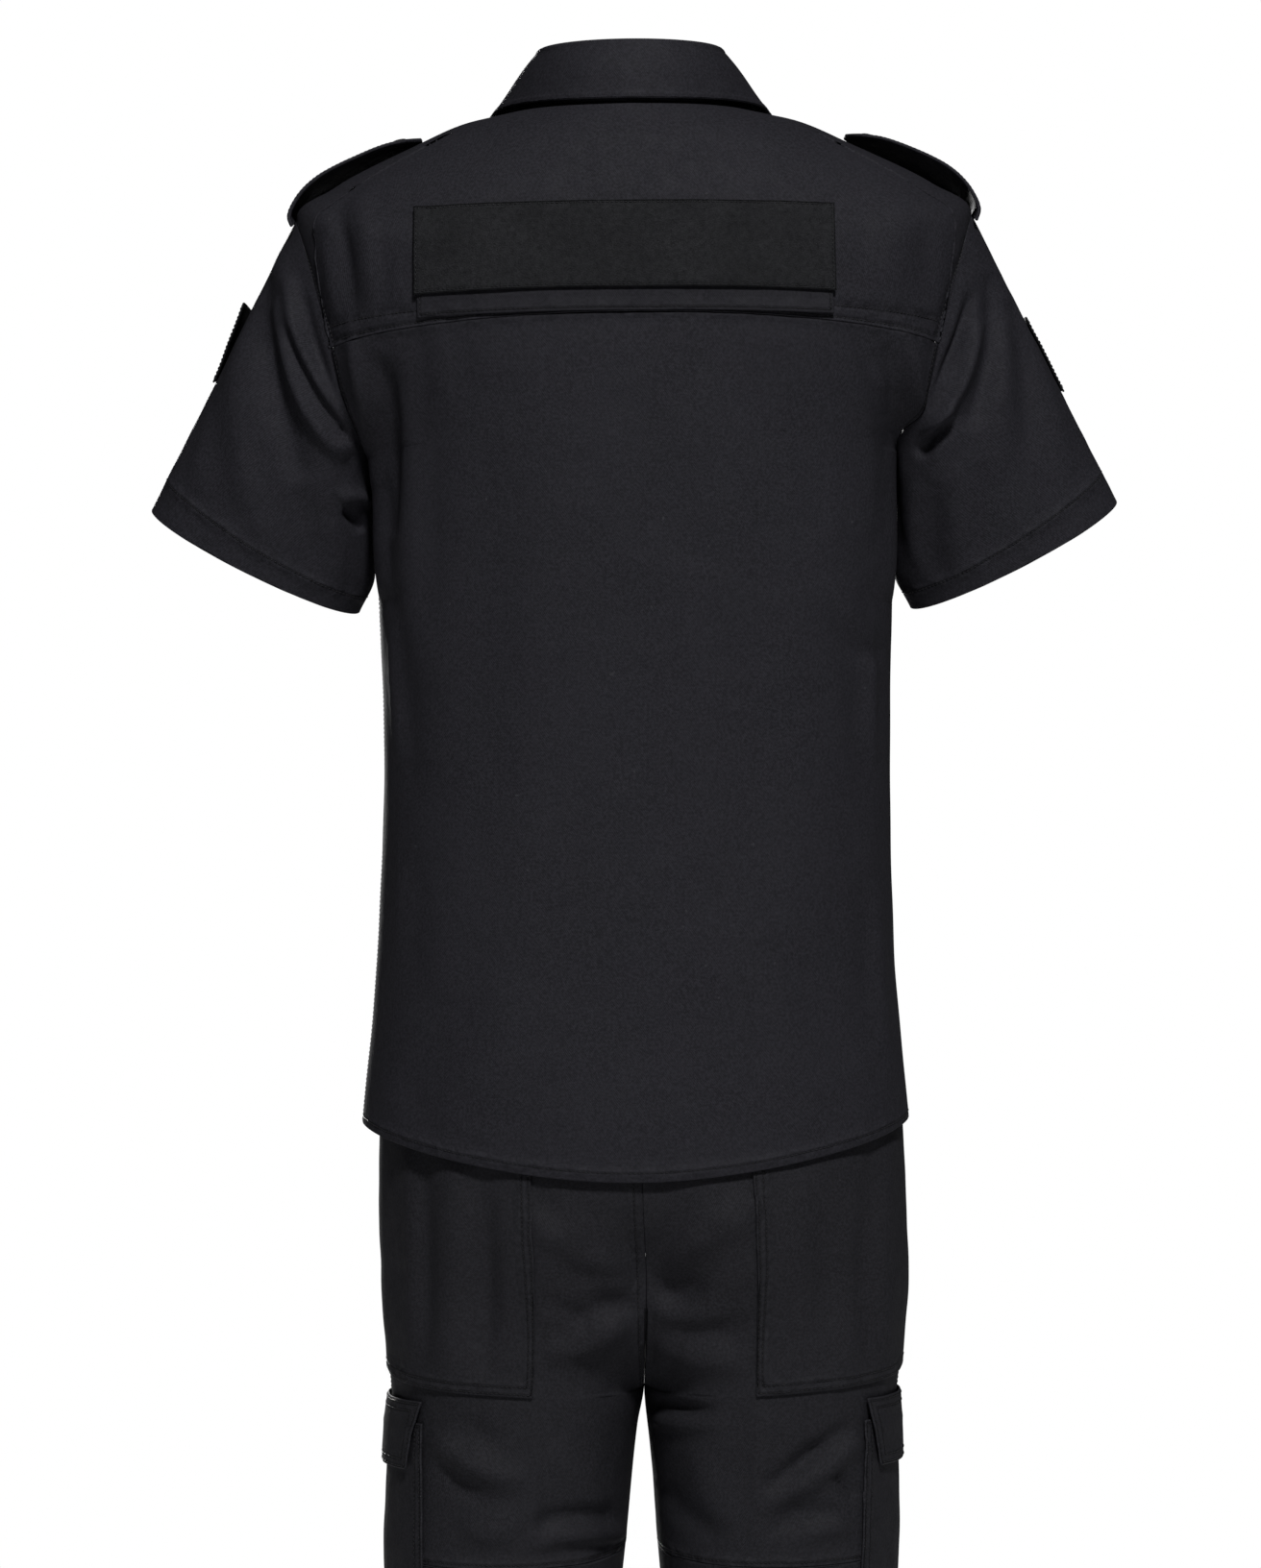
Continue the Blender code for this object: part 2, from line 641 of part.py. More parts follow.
def leaf_point(turn, share):
    """Outer face of the collar leaf: turn is -1 to 1 round the neck, share 0 at the inner fold, 1 at the edge."""
    side = 1 if turn >= 0 else -1
    station = row_at(LEAF, abs(turn))
    top = ring_point(STAND_TOP, radians(station.fold_angle) * side)
    out = Vector((top.x, top.y, 0)).normalized()
    edge, normal = shirt(radians(station.edge_angle) * side, station.edge_v)
    edge = edge + normal * (station.lift + COLLAR_CLOTH)
    rolled = top + out * 3.2 - Vector((0, 0, 0.5))
    fall_start = 0.24
    if share >= fall_start:
        along = (share - fall_start) / (1 - fall_start)
        bow = out * 3.0 * sin(pi * along) * (1 - along)
        return rolled.lerp(edge, along) + bow
    angle = share / fall_start * radians(150)
    middle = top + out * 0.6 - Vector((0, 0, 0.5))
    return middle + (out * -cos(angle + radians(30)) + Vector((0, 0, 1)) * sin(angle + radians(30))) * 2.6


def make_leaf():
    shares = [0, 0.08, 0.16, 0.24, *spaced(0.24, 1, LEAF_ROWS)[1:]]
    turns = spaced(-1, 1, 32)
    rows = [[out_from(leaf_point, turn, share, -1) for turn in turns] for share in shares]
    wall("collar_leaf", rows, COLLAR_CLOTH, TWILL, trim=False)


def strap_surface(side):
    def point(share, across):
        station = row_at(STRAP, share)
        rise = RIGHT_STRAP_RISE * sin(pi * min(share, 1)) ** 0.7 if side < 0 and share > 0 else 0
        z = station.z + rise - (station.droop + rise * 1.2) * across * across
        return Vector((station.x * side + SHIRT.sway(TIP_V), across * station.half_width, z))

    return point


def make_strap(name, side):
    surface = strap_surface(side)
    rows = [
        [out_from(surface, share, across, -side) for across in spaced(-1, 1, 6)]
        for share in [0, 0.04, 0.08, 0.15, 0.22, 0.3, 0.4, 0.5, 0.6, 0.7, 0.8, 0.88, 0.93, 0.965, 1]
    ]
    wall(name, rows, STRAP_CLOTH, TWILL, trim=False)


def strap_share(x):
    """The share of a strap's length where its middle is at x, by halving."""
    low, high = 0.3, 1.0
    for _ in range(30):
        middle = (low + high) / 2
        low, high = (middle, high) if STRAP.x(middle) > x else (low, middle)
    return low


def make_strap_button(name, side):
    point, normal = out_from(strap_surface(side), strap_share(STRAP_BUTTON_X), 0, -side)
    button(name, point, normal, BUTTON_RADIUS, BUTTON)


def yoke_place(x, z):
    """(theta, v) of the point of the shirt's back at (x, z), by halving v and theta in turn."""
    low_v, high_v = NECK_V, HEM_V
    for _ in range(24):
        v = (low_v + high_v) / 2
        low, high = -pi / 2, pi / 2
        for _ in range(24):
            theta = (low + high) / 2
            low, high = (theta, high) if plain_shirt(theta, v).x < x else (low, theta)
        low_v, high_v = (v, high_v) if plain_shirt(theta, v).z > z else (low_v, v)
    return theta, v


def yoke_patch(half_width, top_z, bottom_z, across, down):
    rows = []
    for z in spaced(top_z, bottom_z, down):
        xs = spaced(-half_width, half_width, across)
        rows.append([shirt(*yoke_place(LOOP_CENTRE_X + x, z - LOOP_DROOP * (x / half_width) ** 2)) for x in xs])
    return rows


def make_back_panels():
    """The cloth base and, on it, the loop panel that a name panel presses on to."""
    base = yoke_patch(LOOP_HALF_WIDTH - LOOP_BASE_INSET, LOOP_TOP_Z - 1, LOOP_BASE_BOTTOM_Z, 18, 4)
    wall("back_panel_base", base, PATCH_CLOTH, TWILL, lift=lambda down, along: LAY_GAP)
    loop = yoke_patch(LOOP_HALF_WIDTH, LOOP_TOP_Z, LOOP_BOTTOM_Z, 18, 3)
    under = LAY_GAP + PATCH_CLOTH + SEAM_GAP
    wall("back_loop_panel", loop, LOOP_CLOTH, LOOP, lift=lambda down, along: under)


class Half:
    """One side of the trousers, as the points of its front and back panels."""

    COLUMNS = {1: 12, -1: 8}

    def __init__(self, side):
        seat = spaced(BAND_Z, SEAT_Z, 6)
        fork = [mix(SEAT_Z, CROTCH_Z, sin(pi / 2 * i / 6)) for i in range(1, 7)]
        thigh = spaced(CROTCH_Z, KNEE_SEAM_Z, 5)[1:]
        self.seam_row = len(seat + fork + thigh) - 1
        self.heights = seat + fork + thigh + spaced(KNEE_SEAM_Z, ANKLE_Z, 6)[1:]
        self.turns = sorted({way * j / self.COLUMNS[way] for way in (1, -1) for j in range(self.COLUMNS[way] + 1)})
        surface = trouser_surface(side)
        self.panels = {}
        for way, across in self.COLUMNS.items():
            self.panels[way] = rows = []
            for z in self.heights:
                near = smoothstep(1 - abs(z - KNEE_SEAM_Z) / KNEE_SEAM_REACH)
                dip = KNEE_SEAM_DIP * near if way > 0 else 0
                turns = spaced(0, 1, across)
                rows.append([out_from(surface, way * turn, z - dip * sin(pi * turn), side) for turn in turns])

    def at(self, turn, z):
        """(point, normal) on the panels' own faces."""
        way = 1 if turn >= 0 else -1
        rows = self.panels[way]
        i = min(sum(z < height for height in self.heights[1:]), len(rows) - 2)
        down = (z - self.heights[i]) / (self.heights[i + 1] - self.heights[i])
        place = abs(turn) * self.COLUMNS[way]
        j = min(int(place), self.COLUMNS[way] - 1)
        near, far = ([mix(rows[k][j][n], rows[k][j + 1][n], place - j) for n in (0, 1)] for k in (i, i + 1))
        return mix(near[0], far[0], down), mix(near[1], far[1], down).normalized()

    def area(self, front, back, top, bottom):
        """The grid between two edges, functions of z that give a turn, and a top and bottom, of a turn.

        Its rows and columns are the panels' own, but where an edge cuts across them they crowd beside it.
        """
        middle = (front(self.heights[self.seam_row]) + back(self.heights[self.seam_row])) / 2
        ends = [(front(z), back(z)) for z in spaced(bottom(middle), top(middle), 4)]
        first, last = min(end[0] for end in ends), max(end[1] for end in ends)
        inner = [turn for turn in self.turns if first + 0.004 < turn < last - 0.004]
        lowest = min(bottom(turn) for turn in (first, *inner, last))
        between = [z for z in self.heights if lowest + 3 < z < top(middle) - 3]
        rows = []
        for i, height in enumerate([top(middle), *between, lowest]):
            level = max(height, bottom(middle))
            start, end = front(level), back(level)
            turns = [start]
            for j, turn in enumerate(inner):
                turns.append(min(max(turn, start + (j + 1) * CROWD_TURN), end - (len(inner) - j) * CROWD_TURN))
            turns.append(end)
            left = len(between) + 1 - i
            rows.append([self.at(turn, max(height, bottom(turn) + left * CROWD_Z)) for turn in turns])
        return rows


def make_trousers():
    for side, word in ((1, "left"), (-1, "right")):
        half = HALVES[side]
        back, seam = half.panels[1], half.seam_row
        wall(f"trouser_back_{word}", back[: seam + 1], TROUSER_CLOTH, TROUSER_TWILL)
        wall(f"trouser_calf_{word}", back[seam:], TROUSER_CLOTH, TROUSER_TWILL)
        wall(f"trouser_front_{word}", half.panels[-1], TROUSER_CLOTH, TROUSER_TWILL)


def make_waistband():
    """The band round the waist, in one loop from centre front to centre front."""
    left, right = trouser_surface(1), trouser_surface(-1)
    rows = []
    for z in spaced(WAIST_Z, BAND_Z, 1):
        half = [out_from(left, turn, z, 1) for turn in spaced(-1, 1, 18)]
        other = [out_from(right, turn, z, -1) for turn in spaced(1, -1, 18)]
        for row_half in (half, other):
            row_half[0][0].x = row_half[0][0].x or SEAM_GAP / 2
        rows.append(half + other[1:-1])
    wall("waistband", rows, TROUSER_CLOTH, TROUSER_TWILL, wrap=True)


def turn_at(x, z, way):
    """The turn where a trouser half is x from the centre, by halving."""
    low, high = 0.0, 1.0
    for _ in range(30):
        turn = (low + high) / 2
        low, high = (turn, high) if plain_trousers(way * turn, z).x > x else (low, turn)
    return way * turn


def make_fly():
    surface = trouser_surface(1)
    rows = []
    for z in spaced(BAND_Z - 1, FLY_BOTTOM_Z, 6):
        outer_turn = turn_at(FLY_WIDTH, z, -1)
        rows.append([out_from(surface, turn, z, 1) for turn in spaced(outer_turn, -0.995, 2)])
    wall("fly", rows, TROUSER_CLOTH, TROUSER_TWILL, lift=lambda down, along: LAY_GAP)
    point, normal = out_from(surface, -0.99, (WAIST_Z + BAND_Z) / 2, 1)
    button("waist_button", point, normal, WAIST_BUTTON_RADIUS, BUTTON)


def make_seat_pocket(name, side):
    """The large patch on a hip, from the edge beside the seat round to the outer seam."""

    def back(z):
        share = (z - SEAT_POCKET_TOP_Z) / (SEAT_POCKET_BOTTOM_Z - SEAT_POCKET_TOP_Z)
        return turn_at(mix(SEAT_POCKET_TOP_X, SEAT_POCKET_BOTTOM_X, share), z, 1)

    def bottom(turn):
        return mix(SEAT_POCKET_SIDE_Z, SEAT_POCKET_BOTTOM_Z, min(turn / back(SEAT_POCKET_BOTTOM_Z), 1) ** 0.5)

    rows = HALVES[side].area(lambda z: 0.01, back, lambda turn: SEAT_POCKET_TOP_Z, bottom)
    wall(name, rows, PATCH_CLOTH, TROUSER_TWILL, lift=lambda down, along: POCKET_GAP)


def make_cargo(side, word):
    """The pocket on the outside of a thigh and the flap over it."""
    for piece in CARGO_PIECES:

        def edge(z, way):
            share = (z - piece.top) / (piece.bottom - piece.top)
            return turn_at(mix(piece.top_x, piece.bottom_x, share), z, way)

        def lift(down, along):
            swell = piece.swell * sin(pi * along) * sin(pi * down)
            return mix(piece.top_lift, piece.bottom_lift, min(2.5 * down, 1)) + swell

        rows = HALVES[side].area(
            lambda z: edge(z, -1), lambda z: edge(z, 1), lambda turn: piece.top, lambda turn: piece.bottom
        )
        wall(f"{piece.name}_{word}", rows, CARGO_CLOTH, TROUSER_TWILL, lift=lift, trim=False)


def clear_scene():
    for obj in list(bpy.data.objects):
        bpy.data.objects.remove(obj)


def build():
    make_yoke()
    make_back()
    make_front("shirt_front_left", 1)
    make_front("shirt_front_right", -1)
    make_placket()
    make_front_buttons()
    make_stand()
    make_leaf()
    for side, word in ((1, "left"), (-1, "right")):
        make_sleeve(f"sleeve_{word}", side)
        make_strap(f"shoulder_strap_{word}", side)
        make_strap_button(f"strap_button_{word}", side)
    for patch in SLEEVE_PATCHES:
        make_sleeve_patch(patch)
    make_back_panels()
    make_trousers()
    make_waistband()
    make_fly()
    for side, word in ((1, "left"), (-1, "right")):
        make_seat_pocket(f"seat_pocket_{word}", side)
        make_cargo(side, word)


clear_scene()
PARTS = bpy.data.collections.new("security_guard_uniform")
bpy.context.scene.collection.children.link(PARTS)
TWILL = cloth("shirt twill", (0.012, 0.012, 0.015), 0.8)
TROUSER_TWILL = cloth("trouser twill", (0.011, 0.011, 0.013), 0.82)
LOOP = cloth("loop pile", (0.010, 0.011, 0.011), 0.95)
BUTTON = cloth("button", (0.01, 0.01, 0.011), 0.45)
EDGES = armhole_edges()
HALVES = {side: Half(side) for side in (1, -1)}
build()
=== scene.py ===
"""Looks of the security guard uniform: a black twill shirt and cargo trousers in their worn shape.

The wearer faces -Y, +X is the wearer's left and +Z is up. Sizes are millimetres until a mesh is made.
The forms are those of the model's own solids: the shirt is a surface of theta (round the body from centre
back) and v (the rings from neck to hem), a sleeve runs from the armhole to the ring of its hem, and the
trousers are a surface of turn and z. Every panel is a fine wall on such a surface, with its folds, the
ridges and grooves of its seams, and its rows of stitches.
"""

from collections import namedtuple
from math import cos, pi, radians, sin, sqrt

import bmesh
import bpy
import numpy as np
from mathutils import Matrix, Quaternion, Vector


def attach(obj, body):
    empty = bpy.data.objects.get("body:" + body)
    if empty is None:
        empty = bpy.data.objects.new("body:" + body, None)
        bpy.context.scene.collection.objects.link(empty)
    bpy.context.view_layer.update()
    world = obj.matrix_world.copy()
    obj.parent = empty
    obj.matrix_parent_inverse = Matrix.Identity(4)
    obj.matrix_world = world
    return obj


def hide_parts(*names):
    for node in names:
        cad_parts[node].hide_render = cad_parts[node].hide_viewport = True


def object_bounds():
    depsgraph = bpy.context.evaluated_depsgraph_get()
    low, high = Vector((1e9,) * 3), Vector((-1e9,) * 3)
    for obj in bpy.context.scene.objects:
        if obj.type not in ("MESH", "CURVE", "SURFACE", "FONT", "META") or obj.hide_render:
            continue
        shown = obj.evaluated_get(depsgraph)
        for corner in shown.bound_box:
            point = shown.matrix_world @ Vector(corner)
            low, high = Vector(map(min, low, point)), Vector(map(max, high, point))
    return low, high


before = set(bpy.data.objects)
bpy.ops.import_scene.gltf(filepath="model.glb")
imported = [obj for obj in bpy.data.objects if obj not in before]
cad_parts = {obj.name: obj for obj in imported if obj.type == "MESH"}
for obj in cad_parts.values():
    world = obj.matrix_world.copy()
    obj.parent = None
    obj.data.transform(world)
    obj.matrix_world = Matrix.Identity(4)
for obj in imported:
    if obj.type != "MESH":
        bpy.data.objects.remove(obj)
CAD_LOW, CAD_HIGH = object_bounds()

MM = 0.001
BODY = "root"
STEP = 1e-3

# Cloth and seams
SHIRT_CLOTH = 1.3
TROUSER_CLOTH = 1.5
STRAP_CLOTH = 2.4
COLLAR_CLOTH = 1.8
PATCH_CLOTH = 1.4
CARGO_CLOTH = 1.8
LOOP_CLOTH = 2.0
LAY_GAP = 0.9
POCKET_GAP = 0.8
GRID = 4.6  # how far apart the points of a panel are, away from its seams
SIDE_GRID = 2.6  # the same where the folds are narrow
FRONT_GRID = 5.6
LEG_GRID = 6.2

# Shirt
ShirtRing = namedtuple("ShirtRing", "v half_width side_z back_y back_z front_y front_z square sweep sway")
SHIRT_RINGS = [
    ShirtRing(1.0, 69, -6.0, 70, -8.5, 78, -80, 2.0, 2.0, 0),
    ShirtRing(1.5, 94, -11.0, 78, -19, 82, -88, 2.0, 2.0, 0),
    ShirtRing(2.0, 112, -15.0, 86, -31, 86, -95, 2.05, 2.0, 0),
    ShirtRing(3.0, 152, -32.5, 99, -58, 93, -109, 2.1, 2.0, 0),
    ShirtRing(4.0, 202, -57.5, 110, -92, 102, -128, 2.2, 1.8, -0.7),
    ShirtRing(5.0, 228, -78.5, 115, -116, 108, -142, 2.3, 1.6, -1.4),
    ShirtRing(6.0, 214, -180.0, 120, -151.5, 116, -178, 2.45, 1.15, -0.6),
    ShirtRing(7.0, 176, -245.0, 122, -226, 122, -240, 2.5, 1.6, 0),
    ShirtRing(8.0, 174.5, -310.0, 120, -306, 121, -310, 2.5, 2.0, -0.5),
    ShirtRing(9.0, 170.8, -440.0, 117, -440, 118, -440, 2.5, 2.0, 0),
    ShirtRing(10.0, 174.5, -575.0, 121, -580, 122, -580, 2.5, 2.0, 1.7),
    ShirtRing(11.0, 184.5, -688.0, 127, -723.5, 127, -722, 2.5, 2.2, 3.0),
]
NECK_V, TIP_V, YOKE_V, UNDERARM_V, HEM_V = 1.0, 5.0, 6.0, 7.0, 11.0
ARMHOLE_HALF_ANGLE = radians(25)
FRONT_YOKE_ANGLE = radians(45)  # how far round the armhole the yoke goes to the front
YOKE_FRONT_AT_NECK = radians(115)

# Sleeve hem, for the wearer's left sleeve
HEM_OUTER = np.array((327.8, -22, -272.5))
HEM_INNER = np.array((187.5, -22, -344.0))
HEM_HALF_DEPTH = 44
HEM_TILT = radians(14)
SLEEVE_HEM_DEPTH = 23  # from the hem up to its stitching

# Collar
STAND_TOP = ShirtRing(0.0, 59.5, 31, 60, 31, 64, -46, 2.0, 2.0, 0)
STAND_END = radians(178.2)
STAND_FOOT_SHRINK, STAND_FOOT_DEPTH = 0.985, 2.5
LeafStation = namedtuple("LeafStation", "share fold_angle edge_angle edge_v lift")
LEAF_STATIONS = [
    LeafStation(0.00, 0, 0, 1.00, 1.8),
    LeafStation(0.25, 45, 44, 1.10, 1.8),
    LeafStation(0.50, 90, 89, 1.36, 1.8),
    LeafStation(0.72, 128, 118, 2.1, 3.0),
    LeafStation(0.90, 160, 139, 3.3, 3.0),
    LeafStation(1.00, 175, 149, 4.1, 3.0),
]
LEAF_FALL_START = 0.24
LEAF_HALF_LENGTH, LEAF_FALL_LENGTH = 250, 46
LEAF_STITCH_INSET = 3.6
LEAF_STITCH_END = 0.985  # the share of its length at which the stitches turn down the leaf's points
ROLL_OUT, ROLL_RADIUS, ROLL_SINK = 0.6, 2.6, 0.5  # how the leaf rolls over the stand
ROLL_START, ROLL_TURN = radians(30), radians(150)
LEAF_BOW = 3.0

# Shoulder straps
# along a strap, from the armhole seam to the collar: tilt is how much higher its back edge is than its middle,
# droop how far both edges hang below it, and twist how far the front edge lies towards the neck
StrapStation = namedtuple("StrapStation", "share x z half_width droop tilt twist")
STRAP_STATIONS = [
    StrapStation(0.00, 231.3, -81.5, 23, 4.0, 0.0, 1.2),
    StrapStation(0.06, 233.6, -75.0, 23, 3.6, 0.0, 3.4),
    StrapStation(0.15, 229.5, -66.0, 23, 3.0, 1.0, 3.4),
    StrapStation(0.26, 221.5, -57.2, 23, 3.0, 2.4, 1.6),
    StrapStation(0.40, 208.0, -48.8, 22.5, 3.8, 5.0, 0.0),
    StrapStation(0.60, 188.0, -39.3, 22, 3.8, 5.2, 0.0),
    StrapStation(0.80, 168.0, -31.2, 21, 3.2, 4.6, 0.0),
    StrapStation(0.92, 154.5, -27.5, 20, 2.4, 3.2, 0.0),
    StrapStation(1.00, 143.0, -24.0, 3, 0.3, 0.3, 0.0),
]
STRAP_LENGTH, STRAP_HALF_WIDTH, STRAP_STITCH = 120, 23, 18.5
RIGHT_STRAP_RISE = 2.6  # the right strap bows up, and tilts and droops with it, by these shares of the rise
RISE_HEIGHT, RISE_TILT, RISE_DROOP = 0.6, 0.9, 0.4
STRAP_BUTTON_X = 158.0

# Panels on the yoke
LOOP_CENTRE_X = 5.2
LOOP_HALF_WIDTH = 138.3
LOOP_TOP_Z, LOOP_BOTTOM_Z = -78.2, -136.0
LOOP_DROOP = 2.2
LOOP_BASE_BOTTOM_Z = -151.0
LOOP_BASE_INSET = 1.5

# Patches on the sleeves, from share to share of the sleeve and from phi to phi round it
SleevePatch = namedtuple("SleevePatch", "name side top bottom front back top_lift bottom_lift")
SLEEVE_PATCHES = [
    SleevePatch("left", 1, 0.30, 0.56, -0.92, 0.12, 6.0, 0.9),
    SleevePatch("right", -1, 0.36, 0.62, -1.02, 0.08, 0.9, 0.9),
]
SLEEVE_PATCH_HEIGHT, SLEEVE_PATCH_WIDTH, SLEEVE_PATCH_STITCH = 56, 76, 2.5
SLEEVE_PATCH_STITCH_PHI, SLEEVE_PATCH_STITCH_SHARE = 0.034, 0.012  # the same inset in phi and in share

PLACKET_HALF_WIDTH, PLACKET_STITCH_X = 16, 11
FRONT_BUTTONS = 6
FRONT_BUTTON_TOP_V, FRONT_BUTTON_BOTTOM_V = 5.55, 10.4
BUTTON_RADIUS, BUTTON_DEPTH = 6.0, 2.4
WAIST_BUTTON_RADIUS = 8.0
BUTTON_GAP = 0.3  # between a button and the cloth under it
BUTTON_FACE = 0.62  # how high the dished face is, as a share of the depth
BUTTON_PROFILE = [  # (share of the radius, share of the depth), from the middle of the face to that of the back
    (0.0, BUTTON_FACE), (0.30, 0.60), (0.58, 0.64), (0.70, 0.86), (0.80, 1.0), (0.90, 0.98),
    (0.98, 0.82), (1.0, 0.55), (0.96, 0.22), (0.82, 0.0), (0.0, 0.0),
]

# Trousers
TrouserRing = namedtuple("TrouserRing", "z outer hip_back hip_front inner leg_back leg_front sway")
TROUSER_RINGS = [
    TrouserRing(-545, 159.0, 103, 99, 0, 112, 100, 0),
    TrouserRing(-583, 164.0, 109, 102, 0, 112, 100, 0),
    TrouserRing(-640, 170.8, 118, 105, 0, 112, 100, 0),
    TrouserRing(-700, 174.8, 122, 107, 0, 112, 100, -0.6),
    TrouserRing(-740, 176.2, 122, 107, 0, 112, 100, -1.3),
    TrouserRing(-790, 176.4, 119, 107, 0, 108, 99, -3.0),
    TrouserRing(-842, 172.9, 116, 106, 0, 101, 96, -2.0),
    TrouserRing(-868, 170.8, 115, 105, 0, 97, 93, -1.2),
    TrouserRing(-894, 168.6, 115, 104, 3.5, 95, 91, 0),
    TrouserRing(-918, 169.6, 115, 104, 6.2, 93, 90, 0.3),
    TrouserRing(-972, 171.0, 115, 104, 10.6, 90, 87, 1.4),
    TrouserRing(-1007, 170.0, 115, 104, 14.0, 88, 85, 2.0),
    TrouserRing(-1100, 168.5, 115, 104, 22.0, 81, 81, 2.0),
    TrouserRing(-1200, 166.0, 115, 104, 30.0, 74, 77, 1.0),
    TrouserRing(-1350, 164.0, 115, 104, 38.0, 70, 72, 0),
    TrouserRing(-1550, 162.0, 115, 104, 44.0, 67, 69, 0),
]
WAIST_Z, BAND_Z, SEAT_Z, CROTCH_Z, ANKLE_Z = -545, -583, -760, -868, -1550
KNEE_SEAM_Z, KNEE_SEAM_DIP, KNEE_SEAM_REACH = -974, 7.5, 70
HIP_SQUARE, LEG_SQUARE = 2.4, 2.25
SEAT_POCKET_TOP_Z, SEAT_POCKET_BOTTOM_Z, SEAT_POCKET_SIDE_Z = -655, -867, -849
SEAT_POCKET_TOP_X, SEAT_POCKET_BOTTOM_X = 72, 74
CargoPiece = namedtuple("CargoPiece", "name top_x bottom_x top bottom top_lift bottom_lift swell")
CARGO_PIECES = [
    CargoPiece("cargo_pocket", 146, 143, -886, -1072, 1.0, 1.0, 0.6),
    CargoPiece("cargo_flap", 146.5, 153.5, -871, -917, 1.2, 4.7, 0.3),
]
FLY_WIDTH, FLY_BOTTOM_Z = 34, -745
LEG_HALF_ROUND = 235  # how far round a leg's panel reaches, about the thigh
LEG_HEM_STITCH = 16
BAND_STITCH = 3
SeatHollow = namedtuple("SeatHollow", "depth half_width half_height z")
SEAT_HOLLOWS = (SeatHollow(21, 31, 33, -784), SeatHollow(4, 13, 30, -830))

